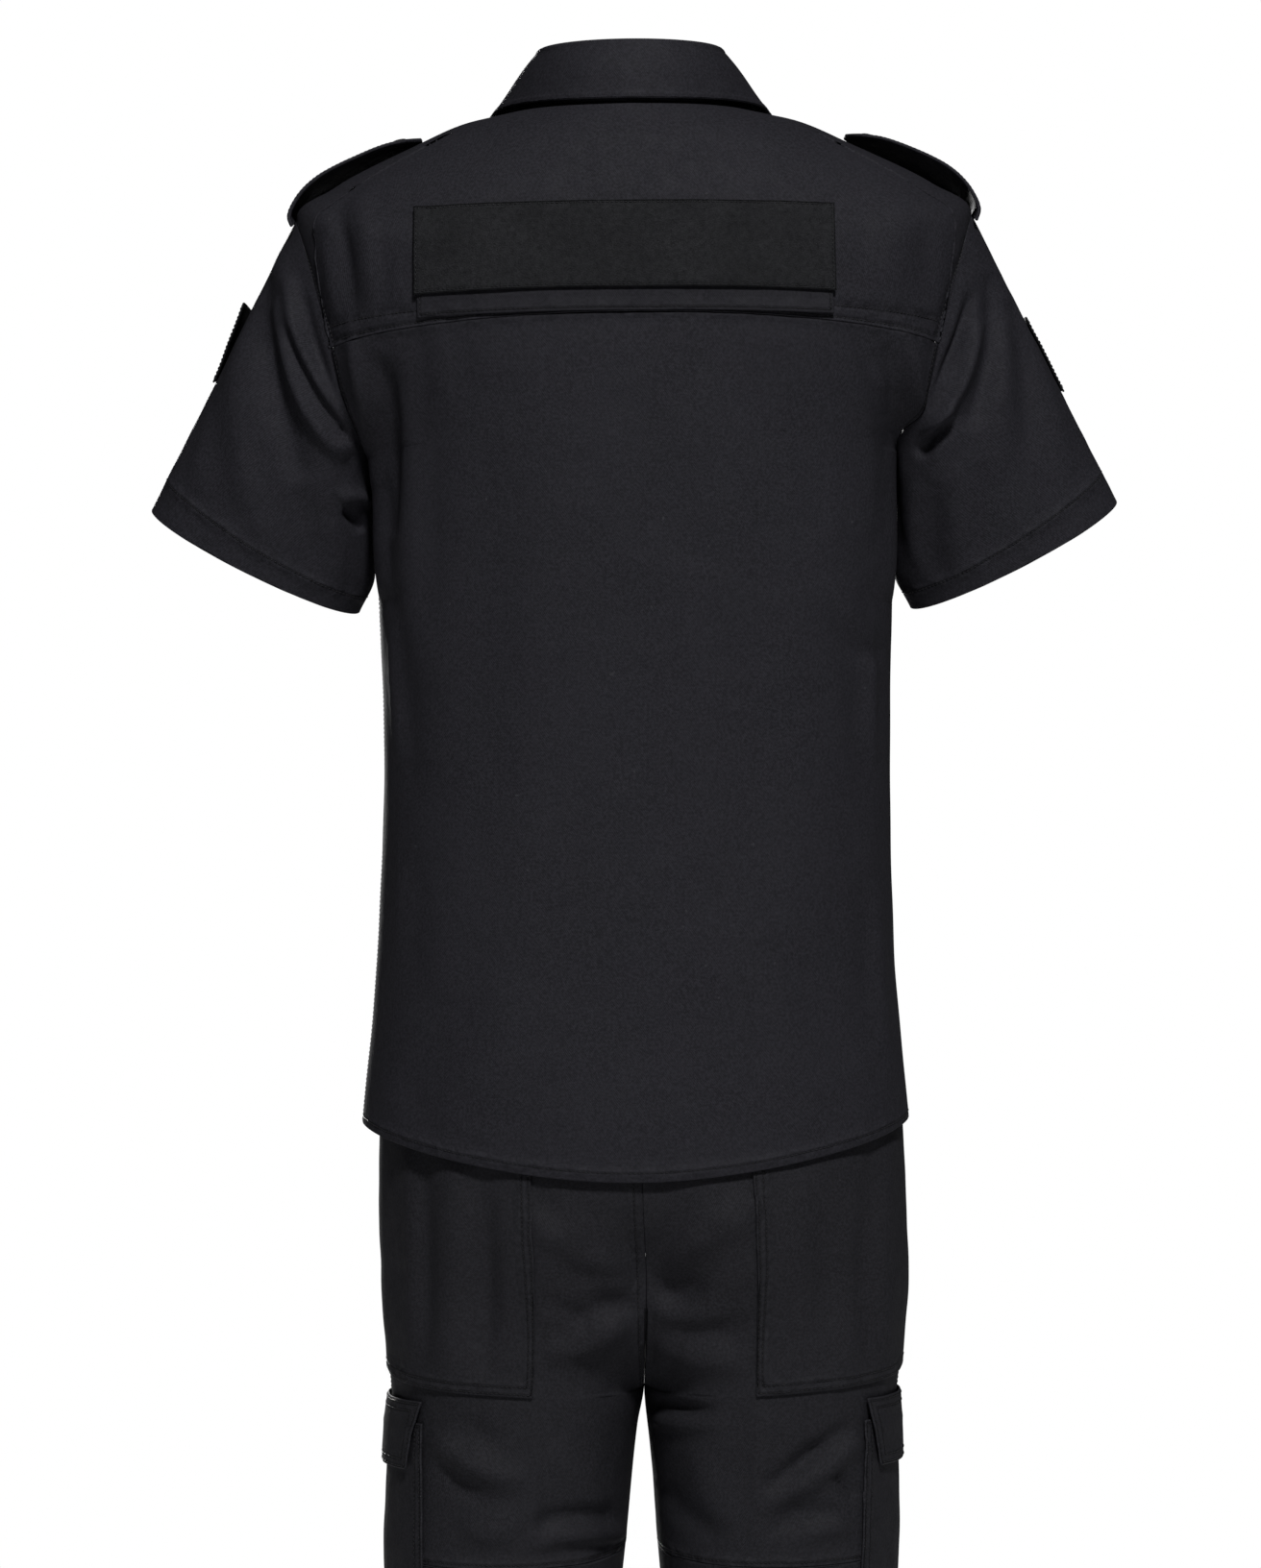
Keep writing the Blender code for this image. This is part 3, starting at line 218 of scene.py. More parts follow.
# Folds: a bent line in the view from behind or before, from (x0, z0) through (mid_x, mid_z) to (x1, z1), with
# its width and its height. A trough has a height below zero. Side is 1 for the back and -1 for the front, and
# a fold comes in over the first fade of y.
Fold = namedtuple("Fold", "side x0 z0 mid_x mid_z x1 z1 width height fade")
SHIRT_FOLDS = [
    # the model's own large folds
    Fold(1, 186, -165, 183, -245, 173, -335, 13, 9.0, 40),
    Fold(1, 163, -180, 165, -256, 164, -345, 9, -4.5, 40),
    Fold(1, -187, -160, -186, -242, -172, -340, 13, 9.5, 40),
    Fold(1, -168, -200, -169, -268, -165, -350, 10, -3.0, 40),
    # shoulder
    Fold(1, 198, -72, 191, -110, 186, -150, 6, -4.7, 20),
    Fold(1, 182, -66, 176, -100, 171, -138, 7, 2.6, 20),
    Fold(1, 167, -101, 165, -126, 164, -150, 5, -2.3, 30),
    Fold(1, 207, -96, 202, -122, 197, -150, 4, 1.8, 20),
    Fold(1, -196, -84, -196, -112, -193, -145, 8, -2.1, 20),
    Fold(1, -178, -66, -176, -100, -168, -134, 12, 1.6, 20),
    Fold(1, -150, -76, -152, -104, -146, -140, 9, -1.2, 30),
    # under the yoke seam
    Fold(1, 146, -152, 141, -180, 139, -212, 7, -2.0, 30),
    Fold(1, 131, -152, 127, -176, 124, -204, 5, 1.2, 30),
    Fold(1, 120, -152, 114, -180, 111, -206, 6, -1.6, 30),
    Fold(1, -36, -150, -22, -192, -12, -232, 10, 1.2, 30),
    Fold(1, -79, -160, -96, -220, -110, -290, 9, 2.2, 30),
    Fold(1, -66, -158, -84, -212, -98, -280, 9, -1.6, 30),
    Fold(1, -90, -176, -108, -232, -126, -300, 10, -2.2, 30),
    Fold(1, -132, -156, -146, -194, -155, -232, 6, 2.0, 30),
    Fold(1, -142, -150, -156, -186, -164, -222, 6, -1.8, 30),
    Fold(1, 0, -200, -21, -269, -46, -330, 16, -1.7, 30),
    # beside the armholes and down the sides
    Fold(1, 190, -152, 176, -206, 171, -262, 4, 3.6, 20),
    Fold(1, 171, -176, 162, -228, 163, -296, 6, -4.9, 20),
    Fold(1, 171, -208, 169, -262, 164, -330, 3, -2.9, 20),
    Fold(1, 152, -200, 151, -300, 147, -400, 9, 3.4, 30),
    Fold(1, 139, -200, 136, -280, 139, -360, 9, -2.5, 30),
    Fold(1, 160, -330, 152, -400, 150, -470, 8, -3.4, 30),
    Fold(1, 162, -352, 161, -400, 158, -446, 4, 3.1, 20),
    Fold(1, -176, -154, -184, -192, -181, -232, 4, 4.2, 20),
    Fold(1, -167, -172, -174, -204, -174, -240, 5, -4.4, 20),
    Fold(1, -160, -188, -160, -240, -158, -300, 9, 2.1, 30),
    Fold(1, -131, -326, -144, -352, -157, -370, 5, 3.8, 30),
    Fold(1, -138, -354, -152, -377, -166, -366, 6, -4.2, 30),
    Fold(1, -126, -344, -134, -370, -146, -392, 9, -2.2, 30),
    Fold(1, -159, -366, -156, -398, -157, -452, 4, 4.2, 20),
    Fold(1, -149, -386, -147, -420, -150, -480, 8, -3.1, 30),
    Fold(1, 158, -500, 157, -535, 160, -570, 5, 2.3, 20),
    Fold(1, 150, -500, 148, -550, 150, -610, 9, -2.1, 30),
    Fold(1, -160, -530, -161, -595, -166, -664, 5, 2.9, 20),
    Fold(1, -151, -520, -152, -580, -156, -640, 8, -2.3, 30),
    # long soft drapes on the back
    Fold(1, 96, -190, 98, -330, 92, -480, 28, -2.1, 30),
    Fold(1, 56, -250, 60, -380, 50, -540, 30, 1.7, 30),
    Fold(1, -58, -330, -64, -440, -56, -560, 30, -1.8, 30),
    Fold(1, -104, -330, -108, -430, -100, -540, 26, 1.8, 30),
    Fold(1, 4, -360, 10, -460, 0, -580, 26, 1.1, 30),
    Fold(1, -94, -564, -122, -612, -144, -650, 13, -3.0, 30),
    Fold(1, -76, -580, -100, -632, -116, -676, 14, 1.7, 30),
    Fold(1, 124, -600, 141, -640, 160, -670, 14, -2.8, 30),
    Fold(1, 98, -560, 108, -592, 122, -624, 12, -1.7, 30),
    Fold(1, 84, -590, 92, -630, 108, -672, 15, 1.6, 30),
    Fold(1, 149, -664, 140, -686, 124, -698, 8, -1.6, 30),
    Fold(1, 30, -610, 34, -650, 26, -700, 18, 1.0, 30),
    Fold(1, -24, -590, -18, -640, -26, -700, 20, -1.0, 30),
    # the front
    Fold(-1, 190, -150, 181, -212, 160, -262, 8, 5.0, 30),
    Fold(-1, 170, -160, 156, -204, 132, -236, 8, -3.4, 30),
    Fold(-1, 172, -250, 164, -332, 158, -420, 8, -3.4, 30),
    Fold(-1, 158, -240, 150, -350, 152, -470, 10, 2.6, 30),
    Fold(-1, -188, -146, -181, -204, -166, -256, 8, 4.6, 30),
    Fold(-1, -168, -170, -150, -212, -128, -250, 8, -3.2, 30),
    Fold(-1, -170, -262, -164, -350, -160, -440, 8, -3.6, 30),
    Fold(-1, -154, -260, -146, -366, -150, -500, 10, 2.4, 30),
    Fold(-1, 96, -165, 98, -330, 90, -520, 20, -2.4, 30),
    Fold(-1, 52, -180, 54, -360, 46, -560, 15, 1.9, 30),
    Fold(-1, 74, -200, 72, -300, 66, -400, 9, -1.2, 30),
    Fold(-1, -90, -175, -94, -340, -88, -540, 20, -2.3, 30),
    Fold(-1, -50, -200, -50, -380, -44, -600, 15, 1.8, 30),
    Fold(-1, -70, -230, -66, -310, -70, -400, 9, -1.1, 30),
    Fold(-1, 126, -560, 122, -618, 128, -680, 11, -2.2, 30),
    Fold(-1, 104, -580, 98, -640, 104, -700, 12, 1.4, 30),
    Fold(-1, -122, -540, -118, -604, -126, -670, 11, -2.1, 30),
    Fold(-1, -98, -570, -94, -630, -100, -700, 12, 1.3, 30),
]
SLEEVE_FOLDS = [
    # the model's own large folds, with their valleys
    Fold(1, 229, -118, 219, -176, 186, -224, 5.5, 8.8, 12),
    Fold(1, 239, -134, 224, -199, 192, -243, 6, 8.0, 12),
    Fold(1, 219, -126, 207, -178, 184, -210, 5, -6.0, 12),
    Fold(1, 232, -152, 214, -192, 188, -231, 4, -5.7, 12),
    Fold(1, 248, -116, 241, -190, 222, -256, 10, -7.0, 12),
    Fold(1, -231, -154, -217, -200, -192, -230, 5.2, 8.8, 12),
    Fold(1, -227, -134, -213, -176, -190, -210, 3.6, -9.0, 12),
    Fold(1, -218, -122, -208, -162, -188, -194, 3.6, 7.2, 12),
    Fold(1, -241, -120, -240, -176, -222, -226, 6.5, -6.6, 12),
    Fold(1, -213, -221, -200, -232, -190, -244, 5, -7.3, 12),
    Fold(1, -213, -211, -206, -219, -194, -226, 4, 4.4, 12),
    # finer ones beside them
    Fold(1, 230, -92, 238, -130, 247, -164, 8, 2.3, 12),
    Fold(1, 196, -226, 187, -221, 178, -226, 3.5, -4.2, 12),
    Fold(1, 199, -236, 190, -232, 180, -238, 4, 3.1, 12),
    Fold(1, 198, -270, 188, -267, 177, -272, 5, 4.4, 12),
    Fold(1, 196, -277, 189, -282, 183, -290, 4, -6.0, 12),
    Fold(1, 264, -140, 268, -206, 262, -276, 10, 3.4, 12),
    Fold(1, 253, -196, 259, -250, 246, -306, 9, 2.3, 12),
    Fold(1, 290, -206, 294, -236, 292, -266, 9, 1.6, 12),
    Fold(1, 224, -262, 218, -292, 220, -322, 9, -2.0, 12),
    Fold(1, 206, -282, 200, -306, 200, -328, 6, 1.7, 12),
    Fold(1, -256, -136, -263, -186, -265, -246, 8, -3.1, 12),
    Fold(1, -244, -146, -248, -196, -244, -262, 9, 2.5, 12),
    Fold(1, -276, -172, -286, -216, -288, -262, 10, 1.8, 12),
    Fold(1, -232, -250, -236, -286, -234, -318, 9, -2.0, 12),
    Fold(1, -204, -262, -200, -290, -204, -324, 7, -2.1, 12),
    Fold(1, -216, -250, -216, -290, -218, -322, 7, 1.6, 12),
    Fold(1, -188, -262, -186, -290, -190, -318, 5, 2.0, 12),
    # the front
    Fold(-1, 226, -136, 216, -186, 188, -232, 5.5, 5.0, 12),
    Fold(-1, 236, -150, 224, -204, 198, -250, 5, -4.0, 12),
    Fold(-1, 246, -158, 236, -214, 212, -262, 7, 3.4, 12),
    Fold(-1, 258, -180, 264, -236, 258, -296, 9, -2.2, 12),
    Fold(-1, 200, -272, 190, -268, 178, -274, 5, 2.8, 12),
    Fold(-1, 280, -196, 284, -236, 280, -280, 10, 1.3, 12),
    Fold(-1, -226, -138, -214, -184, -190, -230, 5.5, 4.8, 12),
    Fold(-1, -238, -154, -224, -202, -200, -248, 5, -3.8, 12),
    Fold(-1, -248, -156, -236, -212, -212, -260, 7, 3.2, 12),
    Fold(-1, -258, -196, -262, -244, -258, -296, 9, -2.2, 12),
    Fold(-1, -204, -262, -194, -268, -182, -276, 5, -3.0, 12),
    Fold(-1, -280, -200, -284, -240, -280, -280, 10, 1.3, 12),
]
TROUSER_FOLDS = [
    # the model's own large folds
    Fold(1, 52, -762, 36, -788, 12, -806, 14, -5.0, 40),
    Fold(1, -12, -806, -34, -782, -54, -752, 14, -5.0, 40),
    Fold(1, -24, -842, -44, -845, -62, -838, 15, 4.0, 40),
    Fold(1, 118, -905, 102, -932, 84, -955, 16, 4.5, 40),
    Fold(1, -118, -900, -104, -928, -88, -950, 16, -4.0, 40),
    # folds about the fork
    Fold(1, 68, -746, 38, -770, 5, -789, 11, 6.4, 30),
    Fold(1, 66, -724, 52, -756, 24, -772, 8, -3.6, 30),
    Fold(1, 46, -816, 22, -808, 3, -812, 7, -5.0, 20),
    Fold(1, 40, -795, 18, -793, 3, -798, 5, 3.0, 20),
    Fold(1, 64, -836, 34, -831, 6, -808, 9, 6.0, 30),
    Fold(1, 66, -800, 46, -812, 34, -818, 7, -3.1, 30),
    Fold(1, -78, -738, -41, -762, -7, -785, 12, 6.6, 30),
    Fold(1, -30, -732, -18, -765, -5, -792, 8, -3.0, 20),
    Fold(1, -3, -792, -20, -800, -42, -792, 8, -4.4, 20),
    Fold(1, -4, -802, -26, -814, -56, -808, 8, 3.6, 30),
    Fold(1, -8, -838, -37, -841, -72, -845, 9, 3.5, 30),
    Fold(1, -10, -820, -40, -824, -70, -820, 7, -2.8, 30),
    # thighs
    Fold(1, 140, -893, 113, -911, 76, -921, 7, 6.6, 30),
    Fold(1, 136, -912, 112, -930, 82, -938, 8, -4.9, 30),
    Fold(1, 118, -878, 108, -890, 92, -896, 7, -2.8, 30),
    Fold(1, 72, -966, 46, -959, 12, -966, 6, 7.4, 30),
    Fold(1, 72, -954, 50, -947, 20, -950, 6, -6.0, 30),
    Fold(1, 60, -900, 40, -924, 24, -950, 10, 2.8, 30),
    Fold(1, 120, -950, 104, -958, 84, -958, 6, 4.2, 30),
    Fold(1, -4, -878, -22, -877, -48, -878, 4, -6.0, 20),
    Fold(1, -6, -886, -24, -888, -54, -884, 5, 3.5, 20),
    Fold(1, -78, -940, -114, -921, -143, -896, 7, 7.4, 30),
    Fold(1, -80, -930, -110, -908, -138, -888, 6, -5.6, 30),
    Fold(1, -127, -919, -134, -929, -142, -939, 3.2, -5.6, 30),
    Fold(1, -108, -964, -121, -957, -136, -961, 4.5, 5.6, 30),
    Fold(1, -84, -958, -104, -946, -128, -946, 7, -4.2, 30),
    Fold(1, -36, -900, -44, -930, -60, -958, 11, 2.8, 30),
    Fold(1, -14, -930, -30, -950, -56, -960, 8, -3.1, 30),
    # press creases
    Fold(1, 71, -858, 72, -920, 74, -975, 3.4, 2.3, 30),
    Fold(1, -75, -858, -75, -920, -74, -975, 3.4, 2.3, 30),
    Fold(1, 74, -976, 82, -1260, 86, -1552, 3.4, 1.9, 30),
    Fold(1, -74, -976, -82, -1260, -86, -1552, 3.4, 1.9, 30),
    Fold(-1, 80, -700, 84, -1130, 86, -1552, 3.4, 1.9, 30),
    Fold(-1, -80, -700, -84, -1130, -86, -1552, 3.4, 1.9, 30),
    # seat, outside
    Fold(1, 104, -716, 101, -784, 105, -852, 9, -3.9, 30),
    Fold(1, 126, -700, 124, -780, 132, -850, 9, 3.3, 30),
    Fold(1, 90, -730, 88, -790, 88, -846, 8, 2.1, 30),
    Fold(1, 143, -700, 140, -780, 144, -852, 6, -2.7, 20),
    Fold(1, 154, -700, 151, -776, 153, -850, 5, 2.7, 20),
    Fold(1, -166, -700, -160, -776, -164, -850, 5, 2.7, 20),
    Fold(1, -152, -700, -146, -776, -150, -850, 7, -2.7, 20),
    Fold(1, -106, -716, -102, -780, -108, -846, 12, 2.2, 30),
    Fold(1, -126, -720, -124, -784, -128, -846, 9, -2.0, 30),
    # behind the knees and down the calves
    Fold(1, 150, -1052, 110, -1070, 60, -1064, 8, 5.5, 30),
    Fold(1, 146, -1080, 104, -1098, 56, -1086, 7, -4.9, 30),
    Fold(1, 138, -1112, 100, -1126, 60, -1120, 9, 4.7, 30),
    Fold(1, 130, -1142, 100, -1152, 70, -1146, 8, -3.1, 30),
    Fold(1, 60, -1010, 84, -1030, 120, -1034, 9, 2.9, 30),
    Fold(1, -148, -1058, -112, -1074, -60, -1068, 8, 5.5, 30),
    Fold(1, -144, -1090, -100, -1104, -56, -1094, 7, -4.9, 30),
    Fold(1, -140, -1120, -104, -1134, -60, -1124, 9, 4.7, 30),
    Fold(1, -128, -1150, -100, -1160, -72, -1152, 8, -3.1, 30),
    Fold(1, -56, -1014, -84, -1034, -124, -1030, 9, 2.9, 30),
    Fold(1, 128, -1180, 131, -1280, 122, -1400, 13, 3.6, 30),
    Fold(1, 60, -1190, 58, -1300, 64, -1420, 12, -3.4, 30),
    Fold(1, -126, -1176, -130, -1290, -124, -1410, 13, 3.6, 30),
    Fold(1, -60, -1190, -56, -1310, -64, -1430, 12, -3.4, 30),
    Fold(1, 150, -1440, 108, -1458, 64, -1448, 8, 4.9, 30),
    Fold(1, 146, -1478, 104, -1492, 62, -1482, 7, -4.2, 30),
    Fold(1, 140, -1512, 106, -1522, 70, -1514, 8, 3.4, 30),
    Fold(1, -150, -1446, -106, -1462, -64, -1452, 8, 4.9, 30),
    Fold(1, -146, -1484, -102, -1496, -62, -1488, 7, -4.2, 30),
    Fold(1, -140, -1516, -106, -1526, -70, -1518, 8, 3.4, 30),
    # the front
    Fold(-1, 100, -736, 56, -778, 12, -806, 8, 4.6, 30),
    Fold(-1, 96, -766, 58, -804, 14, -828, 7, -3.8, 30),
    Fold(-1, 92, -800, 60, -832, 20, -852, 8, 3.6, 30),
    Fold(-1, -98, -740, -58, -776, -12, -802, 8, 4.4, 30),
    Fold(-1, -94, -768, -56, -806, -14, -832, 7, -3.8, 30),
    Fold(-1, -92, -804, -62, -836, -20, -854, 8, 3.4, 30),
    Fold(-1, 124, -890, 116, -960, 120, -1030, 12, -2.6, 30),
    Fold(-1, -122, -890, -116, -960, -122, -1030, 12, -2.6, 30),
    Fold(-1, 140, -1060, 104, -1076, 60, -1068, 8, 3.8, 30),
    Fold(-1, 138, -1096, 102, -1110, 60, -1102, 7, -3.2, 30),
    Fold(-1, 132, -1130, 102, -1140, 72, -1134, 9, 2.6, 30),
    Fold(-1, -138, -1056, -104, -1072, -60, -1062, 8, 3.8, 30),
    Fold(-1, -138, -1094, -104, -1108, -60, -1098, 7, -3.2, 30),
    Fold(-1, -132, -1128, -102, -1138, -72, -1132, 9, 2.6, 30),
    Fold(-1, 122, -1200, 126, -1290, 116, -1400, 13, 2.6, 30),
    Fold(-1, -122, -1200, -126, -1300, -116, -1410, 13, 2.6, 30),
    Fold(-1, 142, -1450, 102, -1466, 64, -1456, 8, 3.4, 30),
    Fold(-1, -142, -1454, -102, -1470, -64, -1460, 8, 3.4, 30),
    Fold(-1, 138, -1492, 102, -1504, 66, -1496, 7, -2.6, 30),
    Fold(-1, -138, -1496, -102, -1508, -66, -1500, 7, -2.6, 30),
]


class Curve:
    """A smooth curve through (key, value) points that never goes past them."""

    def __init__(self, points):
        self.keys, self.values = np.array(points, float).T
        rises = np.diff(self.values) / np.diff(self.keys)
        before, after = rises[:-1], rises[1:]
        level = before * after <= 0
        inner = np.where(level, 0, 2 * before * after / np.where(level, 1, before + after))
        self.slopes = np.concatenate([rises[:1], inner, rises[-1:]])

    def __call__(self, key):
        key = np.clip(key, self.keys[0], self.keys[-1])
        i = np.clip(np.searchsorted(self.keys, key, side="right"), 1, len(self.keys) - 1) - 1
        span = self.keys[i + 1] - self.keys[i]
        t = (key - self.keys[i]) / span
        ease = t * t * (3 - 2 * t)
        lead = t * (1 - t) ** 2 * span * self.slopes[i]
        trail = t * t * (t - 1) * span * self.slopes[i + 1]
        return self.values[i] + (self.values[i + 1] - self.values[i]) * ease + lead + trail


def columns(table):
    ordered = sorted(table)
    kind = type(table[0])
    return kind(*(Curve([(row[0], row[i]) for row in ordered]) for i in range(len(kind._fields))))


def row_at(table_curves, key):
    return type(table_curves)(*(curve(key) for curve in table_curves))


SHIRT = columns(SHIRT_RINGS)
LEAF = columns(LEAF_STATIONS)
STRAP = columns(STRAP_STATIONS)
TROUSERS = columns(TROUSER_RINGS)
UNDERARM_LEAN = Curve([(0, 0), (0.25, -2.2), (0.5, -5.2), (0.75, -8.0), (1, 0)])


def smoothstep(share):
    share = np.clip(share, 0, 1)
    return share * share * (3 - 2 * share)


def mix(a, b, share):
    return a + (b - a) * share


def unit(vectors):
    return vectors / np.maximum(np.linalg.norm(vectors, axis=-1, keepdims=True), 1e-9)


def point_of(x, y, z):
    return np.stack(np.broadcast_arrays(x, y, z), -1).astype(float)


def oval(angle, square):
    s, c = np.sin(angle), np.cos(angle)
    out = (np.abs(s) ** square + np.abs(c) ** square) ** (-1 / square)
    return s * out, c * out


def spaced(start, end, steps):
    return np.linspace(start, end, steps + 1)


def crowded(start, end, step, *places, near=(0.7, 1.5, 2.6, 4.0), fine=()):
    """Numbers from start to end, about a step apart, or as each fine (from, to, step) says, with more of them
    about each place.
    """
    low, high = min(start, end), max(start, end)
    numbers = [low]
    while numbers[-1] < high:
        at = numbers[-1]
        numbers.append(at + min([step, *(size for first, last, size in fine if first <= at < last)]))
    numbers = [n for n in numbers if high - n > step * 0.4] + [high]
    for place in places:
        numbers = [n for n in numbers if abs(n - place) > near[-1] * 0.9 or n in (low, high)]
        numbers += [place, *(place + way * d for d in near for way in (1, -1))]
    numbers = sorted({float(n) for n in numbers if low <= n <= high})
    kept = [numbers[0]]
    for n in numbers[1:-1]:
        if n - kept[-1] > 0.3 and numbers[-1] - n > 0.3:
            kept.append(n)
    kept.append(numbers[-1])
    return np.array(kept if start < end else kept[::-1])


def waves(x, z, size, seed):
    """Uneven soft waves between about -1 and 1, of about that size."""
    total = 0
    for k in range(5):
        turn = 2.399963 * (k + 1) + seed * 1.7
        rate = 2 * pi / (size * (0.75 + 0.19 * k))
        total = total + np.sin((x * cos(turn) + z * sin(turn)) * rate + seed * 3.1 + k * 1.3)
    return total / 3.2


def fold_height(points, folds):
    """How far the folds move points out, from their place in the view from behind or before."""
    total = np.zeros(points.shape[:-1])
    x, y, z = points[..., 0], points[..., 1], points[..., 2]
    steps = 7
    t = np.linspace(0, 1, steps + 1)
    for fold in folds:
        reach = fold.width * 2.6
        early, middle, late = (1 - t) * (1 - 2 * t), 4 * t * (1 - t), t * (2 * t - 1)
        line_x = fold.x0 * early + fold.mid_x * middle + fold.x1 * late
        line_z = fold.z0 * early + fold.mid_z * middle + fold.z1 * late
        by = (
            (y * fold.side > 0)
            & (x > line_x.min() - reach)
            & (x < line_x.max() + reach)
            & (z > line_z.min() - reach)
            & (z < line_z.max() + reach)
        )
        if not by.any():
            continue
        px, pz, py = x[by], z[by], y[by]
        nearest = np.full(px.shape, 1e9)
        share = np.zeros(px.shape)
        for i in range(steps):
            ax, az = line_x[i + 1] - line_x[i], line_z[i + 1] - line_z[i]
            along = ((px - line_x[i]) * ax + (pz - line_z[i]) * az) / (ax * ax + az * az)
            along = np.clip(along, 0, 1)
            away = np.hypot(px - line_x[i] - along * ax, pz - line_z[i] - along * az)
            closer = away < nearest
            nearest = np.where(closer, away, nearest)
            share = np.where(closer, (i + along) / steps, share)
        taper = np.maximum(4 * share * (1 - share), 0) ** 0.5
        near = np.exp(-((nearest / fold.width) ** 2))
        total[by] += fold.height * taper * near * smoothstep(py * fold.side / fold.fade)
    return total


def normals_of(surface, a, b, outward=1):
    along_a = surface(a + STEP, b) - surface(a - STEP, b)
    along_b = surface(a, b + STEP) - surface(a, b - STEP)
    return unit(np.cross(along_a, along_b)) * outward


def folded(surface, folds, outward, soft, fade=None):
    """The surface with its folds and the cloth's soft unevenness raised on it."""

    def raised(a, b):
        points = surface(a, b)
        height = fold_height(points, folds) + soft(points)
        if fade is not None:
            height = height * fade(a, b)
        return points + normals_of(surface, a, b, outward) * height[..., None]

    return raised


def ring_point(ring, theta):
    s, c = oval(theta, ring.square)
    share = np.abs(np.cos(theta)) ** ring.sweep
    back = c >= 0
    x = ring.half_width * s + ring.sway
    y = np.where(back, ring.back_y, ring.front_y) * c
    z = mix(ring.side_z, np.where(back, ring.back_z, ring.front_z), share)
    return point_of(x, y, z)


def plain_shirt(theta, v):
    return ring_point(row_at(SHIRT, v), theta)


def shirt_soft(points):
    """Soft unevenness of the shirt's body: long upright waves, weaker at the neck."""
    x, y, z = points[..., 0], points[..., 1], points[..., 2]
    side = np.where(y > 0, 0.0, 37.0)
    down = smoothstep((-z - 30) / 120)
    long_waves = waves(x, z * 0.22 + side, 62, 3) * 0.75
    short_waves = waves(x, z * 0.55 + side, 27, 8) * 0.22
    return (long_waves + short_waves) * down


shirt = folded(plain_shirt, SHIRT_FOLDS, 1, shirt_soft)


def armhole(phi):
    return pi / 2 - ARMHOLE_HALF_ANGLE * np.sin(phi), YOKE_V - np.cos(phi)


def sleeve_surface(side):
    """The outer face of a sleeve, as a function of phi and the share of its length."""
    centre = (HEM_OUTER + HEM_INNER) / 2
    across = HEM_OUTER - centre
    down = unit(np.array((across[2], 0, -across[0])))
    back = np.array((0, cos(HEM_TILT), 0)) + down * sin(HEM_TILT)

    def plain(phi, share):
        phi, share = np.broadcast_arrays(phi, share)
        theta, v = armhole(phi)
        start = shirt(theta * side, v)
        start[..., 0] *= side
        turn = phi[..., None]
        end = centre + across * np.cos(turn) + back * HEM_HALF_DEPTH * np.sin(turn)
        points = mix(start, end, share[..., None])
        points[..., 0] += UNDERARM_LEAN(share) * np.maximum(0, -np.cos(phi)) ** 2
        points[..., 0] *= side
        return points

    def soft(points):
        x, y, z = points[..., 0], points[..., 1], points[..., 2]
        slant = z + np.abs(x) * 0.5
        return waves(x, slant * 0.5 + y * 0.4, 44, 5 + side) * 0.55 + waves(x, slant, 19, 2 + side) * 0.18

    return folded(plain, SLEEVE_FOLDS, -side, soft, lambda phi, share: smoothstep((share - 0.02) / 0.12))


def leg_share(turn, z):
    rise = np.clip((SEAT_Z - z) / (SEAT_Z - CROTCH_Z), 0, 1)
    by_seam = smoothstep((np.abs(turn) - 0.45) / 0.5)
    return mix(smoothstep(rise), 1 - np.sqrt(np.maximum(1 - rise * rise, 0)), by_seam)


def plain_trousers(turn, z):
    turn, z = np.broadcast_arrays(turn, z)
    ring = row_at(TROUSERS, z)
    s, c = oval(np.abs(turn) * pi / 2, HIP_SQUARE)
    hip = point_of(ring.outer * c, np.where(turn >= 0, ring.hip_back, ring.hip_front) * s, z)
    s, c = oval(np.abs(turn) * pi, LEG_SQUARE)
    half = (ring.outer - ring.inner) / 2
    leg = point_of(ring.inner + half + half * c, np.where(turn >= 0, ring.leg_back, ring.leg_front) * s, z)
    points = mix(hip, leg, leg_share(turn, z)[..., None])
    points[..., 1] *= np.where(turn < 0, -1, 1)
    return points


def seat_hollow(x, z):
    """How far the cloth sinks between the two halves of the seat, down to the fork."""
    return sum(
        hollow.depth * np.exp(-((x / hollow.half_width) ** 2) - ((z - hollow.z) / hollow.half_height) ** 2)
        for hollow in SEAT_HOLLOWS
    )


def trouser_surface(side):
    def plain(turn, z):
        points = plain_trousers(turn, z)
        points[..., 1] -= np.where(points[..., 1] > 0, seat_hollow(points[..., 0], points[..., 2]), 0)
        points[..., 0] = points[..., 0] * side + TROUSERS.sway(z)
        return points

    def soft(points):
        x, y, z = points[..., 0], points[..., 1], points[..., 2]
        down = smoothstep((-z - 640) / 120)
        long_waves = waves(x + y * 0.4, z * 0.3, 50, 11 + side) * 0.8
        return (long_waves + waves(x + y * 0.4, z * 0.6, 22, 4 + side) * 0.25) * down

    def fade(turn, z):
        return smoothstep((1 - np.abs(turn)) / 0.05)

    return folded(plain, TROUSER_FOLDS, side, soft, fade)


# --- meshes -------------------------------------------------------------------------------------------------


def arc_lengths(points, axis):
    """Lengths along one way of a grid, from its middle line."""
    steps = np.linalg.norm(np.diff(points, axis=axis), axis=-1)
    sums = np.cumsum(steps, axis=axis)
    lengths = np.concatenate([np.zeros_like(np.take(sums, [0], axis)), sums], axis=axis)
    middle = np.take(lengths, [lengths.shape[axis] // 2], axis)
    return lengths - middle


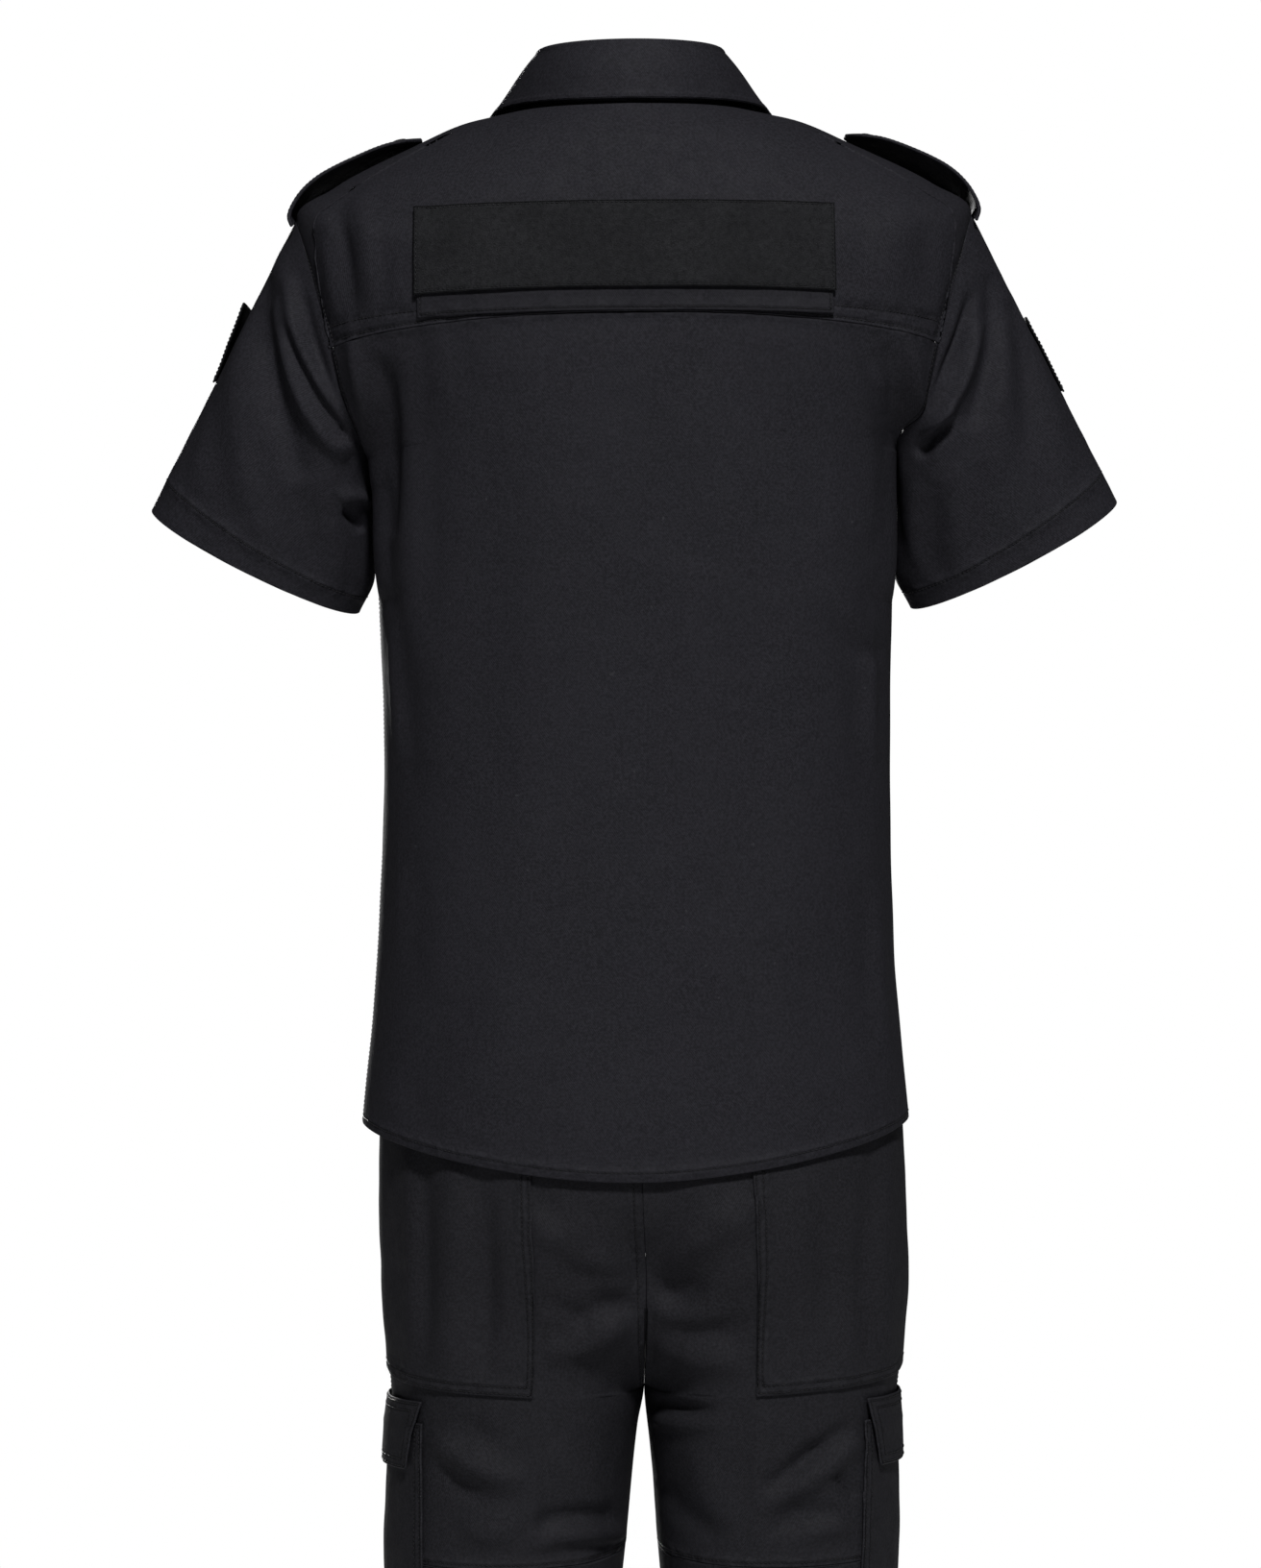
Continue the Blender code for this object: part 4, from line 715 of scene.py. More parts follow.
def grid_normals(points, wrap, like):
    """Normals of a grid of points, on the side of the normal given for its middle."""
    down = np.gradient(points, axis=0)
    if wrap:
        across = np.roll(points, -1, axis=1) - np.roll(points, 1, axis=1)
    else:
        across = np.gradient(points, axis=1)
    normals = unit(np.cross(down, across))
    i, j = middle_of(points)
    return normals * np.sign(normals[i, j] @ like)


def middle_of(points):
    return points.shape[0] // 2, points.shape[1] // 3


def new_object(name, vertices, faces, material, uv=None, sewing=None):
    mesh = bpy.data.meshes.new(name)
    mesh.from_pydata((np.asarray(vertices) * MM).tolist(), [], [list(map(int, f)) for f in faces])
    mesh.materials.append(material)
    if uv is not None:
        corner = np.empty(len(mesh.loops), dtype=np.int32)
        mesh.loops.foreach_get("vertex_index", corner)
        layer = mesh.uv_layers.new(name="weave")
        layer.data.foreach_set("uv", np.asarray(uv)[corner].astype(np.float32).ravel())
    if sewing is not None:
        attribute = mesh.attributes.new("sewing", "FLOAT_VECTOR", "POINT")
        attribute.data.foreach_set("vector", np.asarray(sewing, np.float32).ravel())
    mesh.shade_smooth()
    mesh.update()
    obj = bpy.data.objects.new(name, mesh)
    bpy.context.scene.collection.objects.link(obj)
    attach(obj, BODY)
    return obj


RIM_STEPS = 3
RIM_WEAR = np.array((0.6, 0, 0))


def shell(name, points, normals, thick, material, wrap=False, sewing=None):
    """A closed cloth wall on a grid of outer points, with round edges, thickened inwards."""
    rows, across = points.shape[:2]
    uv_u = arc_lengths(points, 1) * MM
    uv_v = np.repeat(arc_lengths(points, 0)[:, across // 2][:, None], across, 1) * MM
    uv = np.stack([uv_u, uv_v], -1)
    sewing = np.zeros((rows, across, 3)) if sewing is None else sewing
    half = thick / 2
    if wrap:
        loops = [[(i, j) for j in range(across)] for i in (0, rows - 1)]
        beside = [[(1 if i == 0 else rows - 2, j) for i, j in loop] for loop in loops]
    else:
        top = [(0, j) for j in range(across)]
        right = [(i, across - 1) for i in range(1, rows)]
        bottom = [(rows - 1, j) for j in range(across - 2, -1, -1)]
        left = [(i, 0) for i in range(rows - 2, 0, -1)]
        loops = [top + right + bottom + left]

        def beside_edge(i, j):
            row = min(max(i, 1), rows - 2) if rows > 2 else 1 - i
            return row, min(max(j, 1), across - 2)

        beside = [[beside_edge(i, j) for i, j in loops[0]]]
    outer = points.copy()
    edges = []
    for loop, inner_loop in zip(loops, beside):
        at = tuple(np.array(loop).T)
        to = tuple(np.array(inner_loop).T)
        out = points[at] - points[to]
        out = unit(out - normals[at] * (out * normals[at]).sum(-1, keepdims=True))
        outer[at] = points[at] - out * half
        edges.append((at, out))
    inner = outer - normals * thick
    count = rows * across
    vertices = [outer.reshape(-1, 3), inner.reshape(-1, 3)]
    uvs = [uv.reshape(-1, 2), uv.reshape(-1, 2)]
    sewings = [sewing.reshape(-1, 3), sewing.reshape(-1, 3) * 0]
    number = np.arange(count).reshape(rows, across)
    nxt = np.roll(number, -1, axis=1)
    last = across if wrap else across - 1
    quads = np.stack([number[:-1], nxt[:-1], nxt[1:], number[1:]], -1)[:, :last].reshape(-1, 4)
    faces = [quads, quads[:, ::-1] + count]
    base = 2 * count
    for (at, out), loop in zip(edges, loops):
        ids = number[at]
        rings = [ids]
        for k in range(1, RIM_STEPS + 1):
            angle = pi * k / (RIM_STEPS + 1)
            middle = outer[at] - normals[at] * half
            ring = middle + out * half * sin(angle) + normals[at] * half * cos(angle)
            vertices.append(ring)
            uvs.append(uv[at])
            sewings.append(np.maximum(sewing[at], RIM_WEAR))
            rings.append(base + np.arange(len(ids)))
            base += len(ids)
        rings.append(ids + count)
        for a, b in zip(rings, rings[1:]):
            faces.append(np.stack([a, b, np.roll(b, -1), np.roll(a, -1)], -1))
    vertices, faces, uvs, sewings = (np.concatenate(each) for each in (vertices, faces, uvs, sewings))
    obj = new_object(name, vertices, faces, material, uvs, sewings)
    mend_normals(obj)
    return obj


def mend_normals(obj):
    bm = bmesh.new()
    bm.from_mesh(obj.data)
    bmesh.ops.recalc_face_normals(bm, faces=bm.faces)
    bm.to_mesh(obj.data)
    bm.free()


class Line:
    """A seam or a row of stitches on a surface: its points, and the length along them."""

    def __init__(self, points, normals=None):
        self.points = np.asarray(points)
        self.normals = normals
        steps = np.linalg.norm(np.diff(self.points, axis=0), axis=1)
        self.length = np.concatenate([[0], np.cumsum(steps)])

    def near(self, points):
        """(distance, length along) of the nearest place on the line, for each point."""
        flat = points.reshape(-1, 3)
        away = np.full(len(flat), 1e9)
        along = np.zeros(len(flat))
        for i in range(len(self.points) - 1):
            start = self.points[i]
            way = self.points[i + 1] - start
            span = (way**2).sum()
            if span < 1e-9:
                continue
            share = np.clip(((flat - start) @ way) / span, 0, 1)
            distance = np.linalg.norm(flat - start - share[:, None] * way, axis=1)
            closer = distance < away
            away = np.where(closer, distance, away)
            along = np.where(closer, self.length[i] + share * sqrt(span), along)
        shape = points.shape[:-1]
        return away.reshape(shape), along.reshape(shape)

    def resampled(self, pitch):
        count = max(int(self.length[-1] / pitch), 1)
        at = (np.arange(count) + 0.5) * self.length[-1] / count

        def read(values, s):
            return np.stack([np.interp(s, self.length, values[:, k]) for k in range(3)], -1)

        half = self.length[-1] / count * 0.5
        return read(self.points, at), read(self.points, at + half) - read(self.points, at - half), unit(
            read(self.normals, at)
        )


def line_on(surface, a, b, outward, lift=0.0):
    """A line along the surface at the parameters a and b."""
    a, b = np.broadcast_arrays(np.asarray(a, float), np.asarray(b, float))
    points, normals = surface(a, b), normals_of(surface, a, b, outward)
    return Line(points + normals * lift, normals)


GROOVE_DEPTH = 0.34
GROOVE_WIDTH = 0.9
PUCKER_HEIGHT = 0.24
PUCKER_REACH = 3.8
WEAR_AT, WEAR_WIDTH = 1.6, 1.1  # how far beside its stitches a seam is worn


def sewn(points, normals, lines, seed=0, pucker=1.0, groove=1.0):
    """The points with a groove and puckers along each row of stitches, and each one's (wear, sunk, pucker);
    sunk also sets the painted shade in the groove.
    """
    moved = points.copy()
    sewing = np.zeros((*points.shape[:-1], 3))
    for k, line in enumerate(lines):
        away, along = line.near(points)
        sunk = np.exp(-((away / GROOVE_WIDTH) ** 2))
        ripple = waves(along, along * 0.37, 12.5, seed + k * 2.3)
        ripple = ripple + 0.5 * waves(along, along * 0.2, 7.3, seed + k)
        near = np.exp(-((away / PUCKER_REACH) ** 2))
        height = near * ripple * PUCKER_HEIGHT * pucker - sunk * GROOVE_DEPTH * groove
        moved += normals * height[..., None]
        wear = np.exp(-(((away - WEAR_AT) / WEAR_WIDTH) ** 2)) * np.clip(0.55 + 0.4 * ripple, 0, 1)
        sewing = np.maximum(sewing, np.stack([wear, sunk, near * pucker], -1))
    return moved, sewing


STITCH_PITCH = 3.0
STITCH_LENGTH = 2.2
STITCH_RADIUS = 0.27
STITCH_SIDES = 4


def stitches(name, lines, material, sunk=GROOVE_DEPTH * 0.75, pitch=STITCH_PITCH):
    """One mesh of short threads along the lines, each end going down into the cloth."""
    vertices, faces = [], []
    around = STITCH_SIDES
    shares = np.array([-0.5, -0.32, 0.32, 0.5])
    dips = np.array([-0.30, 0.08, 0.08, -0.30])
    girths = np.array([0.4, 1.0, 1.0, 0.4])
    angles = np.arange(around) * 2 * pi / around
    base = 0
    for line in lines:
        places, ways, normals = line.resampled(pitch)
        ways = unit(ways)
        sides = unit(np.cross(ways, normals))
        count = len(places)
        middle = places[:, None] + ways[:, None] * (shares * STITCH_LENGTH)[None, :, None]
        middle = middle + normals[:, None] * (dips - sunk + STITCH_RADIUS)[None, :, None]
        ring = np.cos(angles)[:, None] * sides[:, None, None]
        ring = ring + np.sin(angles)[:, None] * normals[:, None, None]
        tube = middle[:, :, None] + ring * (girths * STITCH_RADIUS)[None, :, None, None]
        vertices.append(tube.reshape(-1, 3))
        each = len(shares) * around
        one = []
        for i in range(len(shares) - 1):
            for j in range(around):
                k = (j + 1) % around
                one.append([i * around + j, i * around + k, (i + 1) * around + k, (i + 1) * around + j])
        starts = base + np.arange(count) * each
        faces.extend((np.array(one)[None] + starts[:, None, None]).reshape(-1, 4).tolist())
        for start in starts:
            faces.append([int(start + j) for j in range(around)][::-1])
            faces.append([int(start + each - around + j) for j in range(around)])
        base += count * each
    return new_object(name, np.concatenate(vertices), faces, material)


# --- materials ----------------------------------------------------------------------------------------------


class Graph:
    """A short way to write a material's nodes."""

    def __init__(self, name):
        self.material = bpy.data.materials.new(name)
        self.material.use_nodes = True
        self.tree = self.material.node_tree
        self.shader = self.tree.nodes["Principled BSDF"]

    def add(self, kind, **settings):
        node = self.tree.nodes.new(kind)
        for key, value in settings.items():
            setattr(node, key, value)
        return node

    def link(self, start, end):
        self.tree.links.new(start, end)

    def math(self, operation, *values):
        node = self.add("ShaderNodeMath", operation=operation)
        for socket, value in zip(node.inputs, values):
            if isinstance(value, (int, float)):
                socket.default_value = value
            else:
                self.link(value, socket)
        return node.outputs[0]

    def noise(self, vector, scale, detail=2.0, rough=0.5):
        node = self.add("ShaderNodeTexNoise")
        node.inputs["Scale"].default_value = scale
        node.inputs["Detail"].default_value = detail
        node.inputs["Roughness"].default_value = rough
        self.link(vector, node.inputs["Vector"])
        return node.outputs["Fac"]

    def blend(self, share, a, b):
        node = self.add("ShaderNodeMix", data_type="RGBA")
        factor = next(s for s in node.inputs if s.name == "Factor" and s.type == "VALUE")
        first = next(s for s in node.inputs if s.name == "A" and s.type == "RGBA")
        second = next(s for s in node.inputs if s.name == "B" and s.type == "RGBA")
        for socket, value in ((factor, share), (first, a), (second, b)):
            if isinstance(value, tuple):
                socket.default_value = (*value, 1)
            elif isinstance(value, (int, float)):
                socket.default_value = value
            else:
                self.link(value, socket)
        return next(s for s in node.outputs if s.type == "RGBA")

    def bump(self, height, under=None):
        """A normal from a height in metres, on top of another normal."""
        node = self.add("ShaderNodeBump")
        node.inputs["Distance"].default_value = 1.0
        self.link(height, node.inputs["Height"])
        if under is not None:
            self.link(under, node.inputs["Normal"])
        return node.outputs["Normal"]

    def fit(self, value, low, high, to_low, to_high):
        node = self.add("ShaderNodeMapRange")
        self.link(value, node.inputs["Value"])
        for name, number in (("From Min", low), ("From Max", high), ("To Min", to_low), ("To Max", to_high)):
            node.inputs[name].default_value = number
        return node.outputs["Result"]


def twill(name, colour, worn, slant=1, pitch=0.00115):
    """Black twill: slanting ribs cut into yarns, a little lint, worn edges and puckers along its seams, and
    painted shade in the grooves of its stitches.
    """
    g = Graph(name)
    uv = g.add("ShaderNodeUVMap", uv_map="weave").outputs["UV"]
    place = g.add("ShaderNodeTexCoord").outputs["Object"]
    split = g.add("ShaderNodeSeparateXYZ")
    g.link(uv, split.inputs[0])
    u, v = split.outputs["X"], split.outputs["Y"]
    wander = g.math("MULTIPLY", g.noise(place, 90, 2), 0.0016)
    slope = g.math("ADD", g.math("MULTIPLY", u, slant * 0.82), g.math("MULTIPLY", v, 0.57))
    slope = g.math("ADD", slope, wander)
    rib = g.math("SINE", g.math("MULTIPLY", slope, 2 * pi / pitch))
    yarn = g.math("SINE", g.math("MULTIPLY", g.math("ADD", u, wander), 2 * pi / (pitch * 0.52)))
    weave = g.math("ADD", g.math("MULTIPLY", rib, 0.65), g.math("MULTIPLY", yarn, 0.35))
    grain = g.noise(place, 620, 2, 0.6)
    cloud = g.noise(place, 16, 3, 0.55)
    mottle = g.noise(place, 75, 2, 0.6)
    sewing = g.add("ShaderNodeAttribute", attribute_name="sewing").outputs["Vector"]
    parts = g.add("ShaderNodeSeparateXYZ")
    g.link(sewing, parts.inputs[0])
    # wear is worn cloth beside the stitches; seam is the share of the stitch groove, used for painted shade
    wear, seam, pucker = parts.outputs
    wear_share = g.math("MULTIPLY", wear, g.fit(mottle, 0.35, 0.7, 0.2, 1.0))
    base = g.blend(g.fit(cloud, 0.3, 0.7, 0.0, 1.0), scaled(colour, 0.88), scaled(colour, 1.12))
    base = g.blend(g.fit(grain, 0.36, 0.66, 0.0, 0.8), base, scaled(colour, 2.0))
    base = g.blend(g.fit(weave, -1, 1, 0.0, 0.55), base, scaled(colour, 0.2))
    base = g.blend(g.math("MULTIPLY", wear_share, 0.30), base, worn)
    # painted shade: the colour darkens where the cloth sinks into the groove of a row of stitches
    base = g.blend(g.math("MULTIPLY", seam, 0.5), base, scaled(colour, 0.3))
    lint = g.math("GREATER_THAN", g.noise(place, 240, 0), 0.90)
    base = g.blend(g.math("MULTIPLY", lint, 0.35), base, (0.05, 0.05, 0.055))
    g.link(base, g.shader.inputs["Base Color"])
    g.link(g.fit(mottle, 0.3, 0.7, 0.66, 0.80), g.shader.inputs["Roughness"])
    g.shader.inputs["Specular IOR Level"].default_value = TWILL_SPECULAR
    swell = g.noise(place, 36, 2)
    height = g.math("ADD", g.math("MULTIPLY", mottle, 0.00030), g.math("MULTIPLY", swell, 0.0011))
    dimple = g.math("MULTIPLY", g.math("MULTIPLY", g.noise(place, 125, 1), pucker), 0.0026)
    soft = g.bump(g.math("ADD", height, dimple))
    fine = g.math("ADD", g.math("MULTIPLY", weave, 0.000045), g.math("MULTIPLY", grain, 0.00014))
    g.link(g.bump(fine, soft), g.shader.inputs["Normal"])
    return g.material


def loop_pile():
    """The fuzzy greenish-black loops that a name panel presses on to."""
    g = Graph("loop pile")
    place = g.add("ShaderNodeTexCoord").outputs["Object"]
    cells = g.add("ShaderNodeTexVoronoi", feature="F1")
    cells.inputs["Scale"].default_value = 900
    g.link(place, cells.inputs["Vector"])
    fuzz = g.noise(place, 1300, 2, 0.7)
    tuft = g.noise(place, 260, 3, 0.65)
    nap = g.noise(place, 30, 2, 0.5)
    base = g.blend(g.fit(tuft, 0.3, 0.7, 0.0, 1.0), scaled(PILE, 0.6), scaled(PILE, 1.2))
    base = g.blend(g.fit(fuzz, 0.45, 0.75, 0.0, 0.5), base, scaled(PILE, 2.3))
    base = g.blend(g.fit(nap, 0.35, 0.65, 0.0, 0.35), base, scaled(PILE, 0.55))
    g.link(base, g.shader.inputs["Base Color"])
    g.shader.inputs["Roughness"].default_value = 0.95
    g.shader.inputs["Specular IOR Level"].default_value = 0.05
    height = g.math("ADD", g.math("ADD", tuft, fuzz), cells.outputs["Distance"])
    g.link(g.bump(g.math("MULTIPLY", height, 0.0004)), g.shader.inputs["Normal"])
    return g.material


def thread():
    g = Graph("thread")
    place = g.add("ShaderNodeTexCoord").outputs["Object"]
    ply = g.noise(place, 1400, 1)
    base = g.blend(g.fit(ply, 0.3, 0.7, 0.0, 1.0), (0.0035, 0.0035, 0.0042), (0.011, 0.011, 0.013))
    g.link(base, g.shader.inputs["Base Color"])
    g.shader.inputs["Roughness"].default_value = 0.5
    g.shader.inputs["Specular IOR Level"].default_value = 0.3
    g.link(g.bump(g.math("MULTIPLY", ply, 0.0001)), g.shader.inputs["Normal"])
    return g.material


def horn():
    """Black moulded buttons: a dull polish with a faint cloud in it."""
    g = Graph("button")
    place = g.add("ShaderNodeTexCoord").outputs["Object"]
    cloud = g.noise(place, 240, 3, 0.6)
    base = g.blend(g.fit(cloud, 0.35, 0.7, 0.0, 1.0), (0.008, 0.008, 0.009), (0.020, 0.019, 0.020))
    g.link(base, g.shader.inputs["Base Color"])
    g.link(g.fit(cloud, 0.3, 0.7, 0.42, 0.58), g.shader.inputs["Roughness"])
    g.shader.inputs["Specular IOR Level"].default_value = 0.22
    g.link(g.bump(g.math("MULTIPLY", cloud, 0.00003)), g.shader.inputs["Normal"])
    return g.material


def scaled(colour, factor):
    return tuple(channel * factor for channel in colour)


TWILL_SPECULAR = 0.10
PILE = (0.0160, 0.0162, 0.0176)
TWILL = twill("shirt twill", (0.0150, 0.0146, 0.0182), (0.036, 0.036, 0.042))
# the sleeve patches' twill is the shirt's made much darker: painted shade for the shadow they lie in
SHADED_PATCH_TWILL = twill("patch twill in painted shade", (0.0056, 0.0056, 0.0064), (0.022, 0.022, 0.024))
# the base strip's twill is the shirt's made a little darker: painted shade cast by the loop panel above it
SHADED_BASE_TWILL = twill("base twill in painted shade", (0.0122, 0.0119, 0.0148), (0.032, 0.032, 0.037))
TROUSER_TWILL = twill("trouser twill", (0.0136, 0.0134, 0.0160), (0.034, 0.034, 0.039), slant=-1)
LOOP = loop_pile()
THREAD = thread()
HORN = horn()

# The cut of each cloth piece, laid flat: its width and length in metres, its area in square metres where it
# isn't a rectangle, and how the cloth is held
Cut = namedtuple("Cut", "width length area held")


def stands_for(piece, node):
    """The piece replaces its CAD node, which is hidden."""
    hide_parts(node)
    return piece


# --- shirt --------------------------------------------------------------------------------------------------


def panel(
    name, node, surface, a, b, outward, thick, material, lines=(), lift=None, wrap=False, seed=0, **sewing
):
    """A panel on a surface at a grid of parameters, with its rows of stitches pressed in."""
    a, b = np.broadcast_arrays(a, b)
    points = surface(a, b)
    at = middle_of(points)
    like = normals_of(surface, a[at], b[at], outward)
    if lift is not None:
        points = points + grid_normals(points, wrap, like) * lift[..., None]
    points, marks = sewn(points, grid_normals(points, wrap, like), lines, seed, **sewing)
    piece = shell(name, points, grid_normals(points, wrap, like), thick, material, wrap, marks)
    return stands_for(piece, node)


def phi_rows(first, last, step_mm=3.4):
    """Angles round the armhole between two of them, crowded where they end."""
    length = 78
    return crowded(first * length, last * length, step_mm, first * length, last * length) / length


def edge_theta(v):
    """theta of the armhole on the back at v, and of the side seam below it."""
    lift = np.clip(1 - (v - YOKE_V) ** 2, 0, 1)
    return pi / 2 - ARMHOLE_HALF_ANGLE * np.sqrt(np.where(v < UNDERARM_V, lift, 0))


def across_shares(width, *inset):
    """Shares from -1 to 1 across a panel of that half width, crowded at its edges and at the insets."""
    places = [way * (width - place) for place in (0, *inset) for way in (1, -1)]
    fine = [(-width, 62 - width, SIDE_GRID), (width - 62, width, SIDE_GRID)]
    return crowded(-width, width, 6.2, *places, fine=fine) / width


def v_rows(start, end, mm_per_v, *places, step=GRID, **settings):
    places = [place * mm_per_v for place in places]
    return crowded(start * mm_per_v, end * mm_per_v, step, *places, **settings) / mm_per_v


ARMHOLE_STITCH = 6.0
HEM_STITCH = 6.0
YOKE_STITCH = 6.5
EDGE_STITCH = 1.6
SIDE_STITCH = 5.5
THETA_MM = 190.0  # millimetres to a radian of theta, about the sides
HEM_MM_PER_V, YOKE_MM_PER_V = 140, 36  # millimetres to one v, at the hem and above the yoke's seam


def armhole_stitch_line(side, first, last, inset=ARMHOLE_STITCH):
    """The row of stitches beside the armhole, on the body."""
    phi = spaced(first, last, 60)
    theta, v = armhole(phi)
    theta = theta - np.sin(phi) * inset / THETA_MM
    v = v - np.cos(phi) * (-inset) / 100 * np.where(np.cos(phi) > 0, 1, 0.75)
    return line_on(shirt, theta * side, v, 1)


def make_back():
    rows_phi = phi_rows(pi / 2, pi)
    upper = YOKE_V - np.cos(rows_phi)
    lower = v_rows(UNDERARM_V, HEM_V, 125, UNDERARM_V, HEM_V - HEM_STITCH / HEM_MM_PER_V, HEM_V)[1:]
    v = np.concatenate([upper, lower])
    shares = across_shares(175, ARMHOLE_STITCH)
    theta = edge_theta(v)[:, None] * shares[None]
    hem = line_on(shirt, spaced(-pi / 2, pi / 2, 120), HEM_V - HEM_STITCH / HEM_MM_PER_V, 1)
    seam = line_on(shirt, spaced(-edge_theta(YOKE_V), edge_theta(YOKE_V), 80), YOKE_V, 1)
    arms = [armhole_stitch_line(side, pi / 2, pi * 0.97) for side in (1, -1)]
    left_side = line_on(shirt, pi / 2 - SIDE_STITCH / THETA_MM, spaced(UNDERARM_V + 0.03, HEM_V, 90), 1)
    rows = [hem, *arms, left_side]
    panel(
        "cloth_shirt_back", "shirt_back", shirt, theta, v[:, None], 1, SHIRT_CLOTH, TWILL,
        [*rows, seam], seed=1,
    )
    stitches("stitches_shirt_back", rows, THREAD)


def yoke_outline():
    """(neck theta, theta, v) round the yoke from its right front end to its left one, in fine steps."""
    edge = edge_theta(YOKE_V)
    flat = crowded(0, edge * 200, 5.2, edge * 200, fine=[(edge * 200 - 55, edge * 200, SIDE_GRID)]) / 200
    phi = phi_rows(-FRONT_YOKE_ANGLE, pi / 2)[::-1]
    round_theta, round_v = armhole(phi)
    theta = np.concatenate([flat[:-1], round_theta])
    v = np.concatenate([np.full(len(flat) - 1, YOKE_V), round_v])
    neck = theta * YOKE_FRONT_AT_NECK / theta[-1]
    return tuple(
        np.concatenate([sign * line[:0:-1], line]) for line, sign in ((neck, -1), (theta, -1), (v, 1))
    )


def make_yoke():
    neck, theta, v = yoke_outline()
    length = 145
    shares = crowded(0, length, 3.8, 0, length - YOKE_STITCH, length) / length
    a = mix(neck[None], theta[None], shares[:, None])
    b = mix(NECK_V, v[None], shares[:, None])
    inner = edge_theta(YOKE_V) - 8 / THETA_MM
    above = line_on(shirt, spaced(-inner, inner, 100), YOKE_V - YOKE_STITCH / YOKE_MM_PER_V, 1)
    edge = line_on(shirt, spaced(-inner, inner, 100), YOKE_V - EDGE_STITCH / YOKE_MM_PER_V, 1)
    arms = [armhole_stitch_line(side, -FRONT_YOKE_ANGLE, pi / 2 - 0.05) for side in (1, -1)]
    panel("cloth_shirt_yoke", "shirt_yoke", shirt, a, b, 1, SHIRT_CLOTH, TWILL, [above, edge, *arms], seed=4)
    stitches("stitches_shirt_yoke", [above, edge, *arms], THREAD)


def make_front(word, side):
    seam_theta, seam_v = armhole(-FRONT_YOKE_ANGLE)
    top_shares = crowded(0, 110, FRONT_GRID, 0, 110) / 110
    top_v = mix(NECK_V, seam_v, top_shares)
    top_edge = mix(YOKE_FRONT_AT_NECK, seam_theta, top_shares)
    phi = phi_rows(-pi, -FRONT_YOKE_ANGLE)[::-1]
    side_edge, side_v = armhole(phi)
    hem_row = HEM_V - HEM_STITCH / HEM_MM_PER_V
    low_v = v_rows(UNDERARM_V, HEM_V, 120, UNDERARM_V, hem_row, HEM_V, step=FRONT_GRID)
    v = np.concatenate([top_v, side_v[1:-1], low_v])
    edge = np.concatenate([top_edge, side_edge[1:-1], np.full(len(low_v), pi / 2)])
    width = 190
    shares = crowded(0, width, FRONT_GRID, 0, ARMHOLE_STITCH, fine=[(0, 60, 3.4)]) / width
    theta = mix(edge[:, None], pi, shares[None]) * side
    hem = line_on(shirt, side * spaced(pi / 2, pi, 70), hem_row, 1)
    arm = armhole_stitch_line(side, -pi * 0.97, -FRONT_YOKE_ANGLE)
    name = f"shirt_front_{word}"
    panel(f"cloth_{name}", name, shirt, theta, v[:, None], 1, SHIRT_CLOTH, TWILL, [hem, arm], seed=6 + side)
    stitches(f"stitches_shirt_front_{word}", [hem, arm], THREAD)


def placket_theta(v, x):
    return pi - np.arcsin(x / SHIRT.half_width(v))


def make_placket():
    v = v_rows(NECK_V + 0.1, HEM_V, 115, HEM_V, step=FRONT_GRID)
    edges = (PLACKET_HALF_WIDTH, PLACKET_STITCH_X, -PLACKET_STITCH_X, -PLACKET_HALF_WIDTH)
    x = crowded(PLACKET_HALF_WIDTH, -PLACKET_HALF_WIDTH, 5, *edges, near=(0.8, 2.0))
    theta = placket_theta(v[:, None], x[None])
    top = LAY_GAP + SHIRT_CLOTH
    lines = []
    for x_of_row in (PLACKET_STITCH_X, -PLACKET_STITCH_X):
        row = spaced(NECK_V + 0.15, HEM_V - 0.03, 160)
        lines.append(line_on(shirt, placket_theta(row, x_of_row), row, 1, top))
    panel(
        "cloth_placket", "shirt_placket", shirt, theta, v[:, None], 1, SHIRT_CLOTH, TWILL,
        lines, lift=np.full(theta.shape, top), seed=9,
    )
    stitches("stitches_placket", lines, THREAD)


def make_sleeve(word, side):
    surface = sleeve_surface(side)
    length = 215
    phi = np.concatenate([spaced(0, pi, 80)[:-1], spaced(pi, 2 * pi, 54)[:-1]])
    rows = crowded(0, length, 3.0, 0, length - SLEEVE_HEM_DEPTH, length) / length
    hem_share = 1 - SLEEVE_HEM_DEPTH / length
    around = spaced(0, 2 * pi, 120)
    lines = [line_on(surface, around, hem_share, -side)]
    panel(
        f"cloth_sleeve_{word}", f"sleeve_{word}", surface, phi[None], rows[:, None], -side, SHIRT_CLOTH,
        TWILL, lines, wrap=True, seed=12 + side,
    )
    stitches(f"stitches_sleeve_{word}", lines, THREAD)


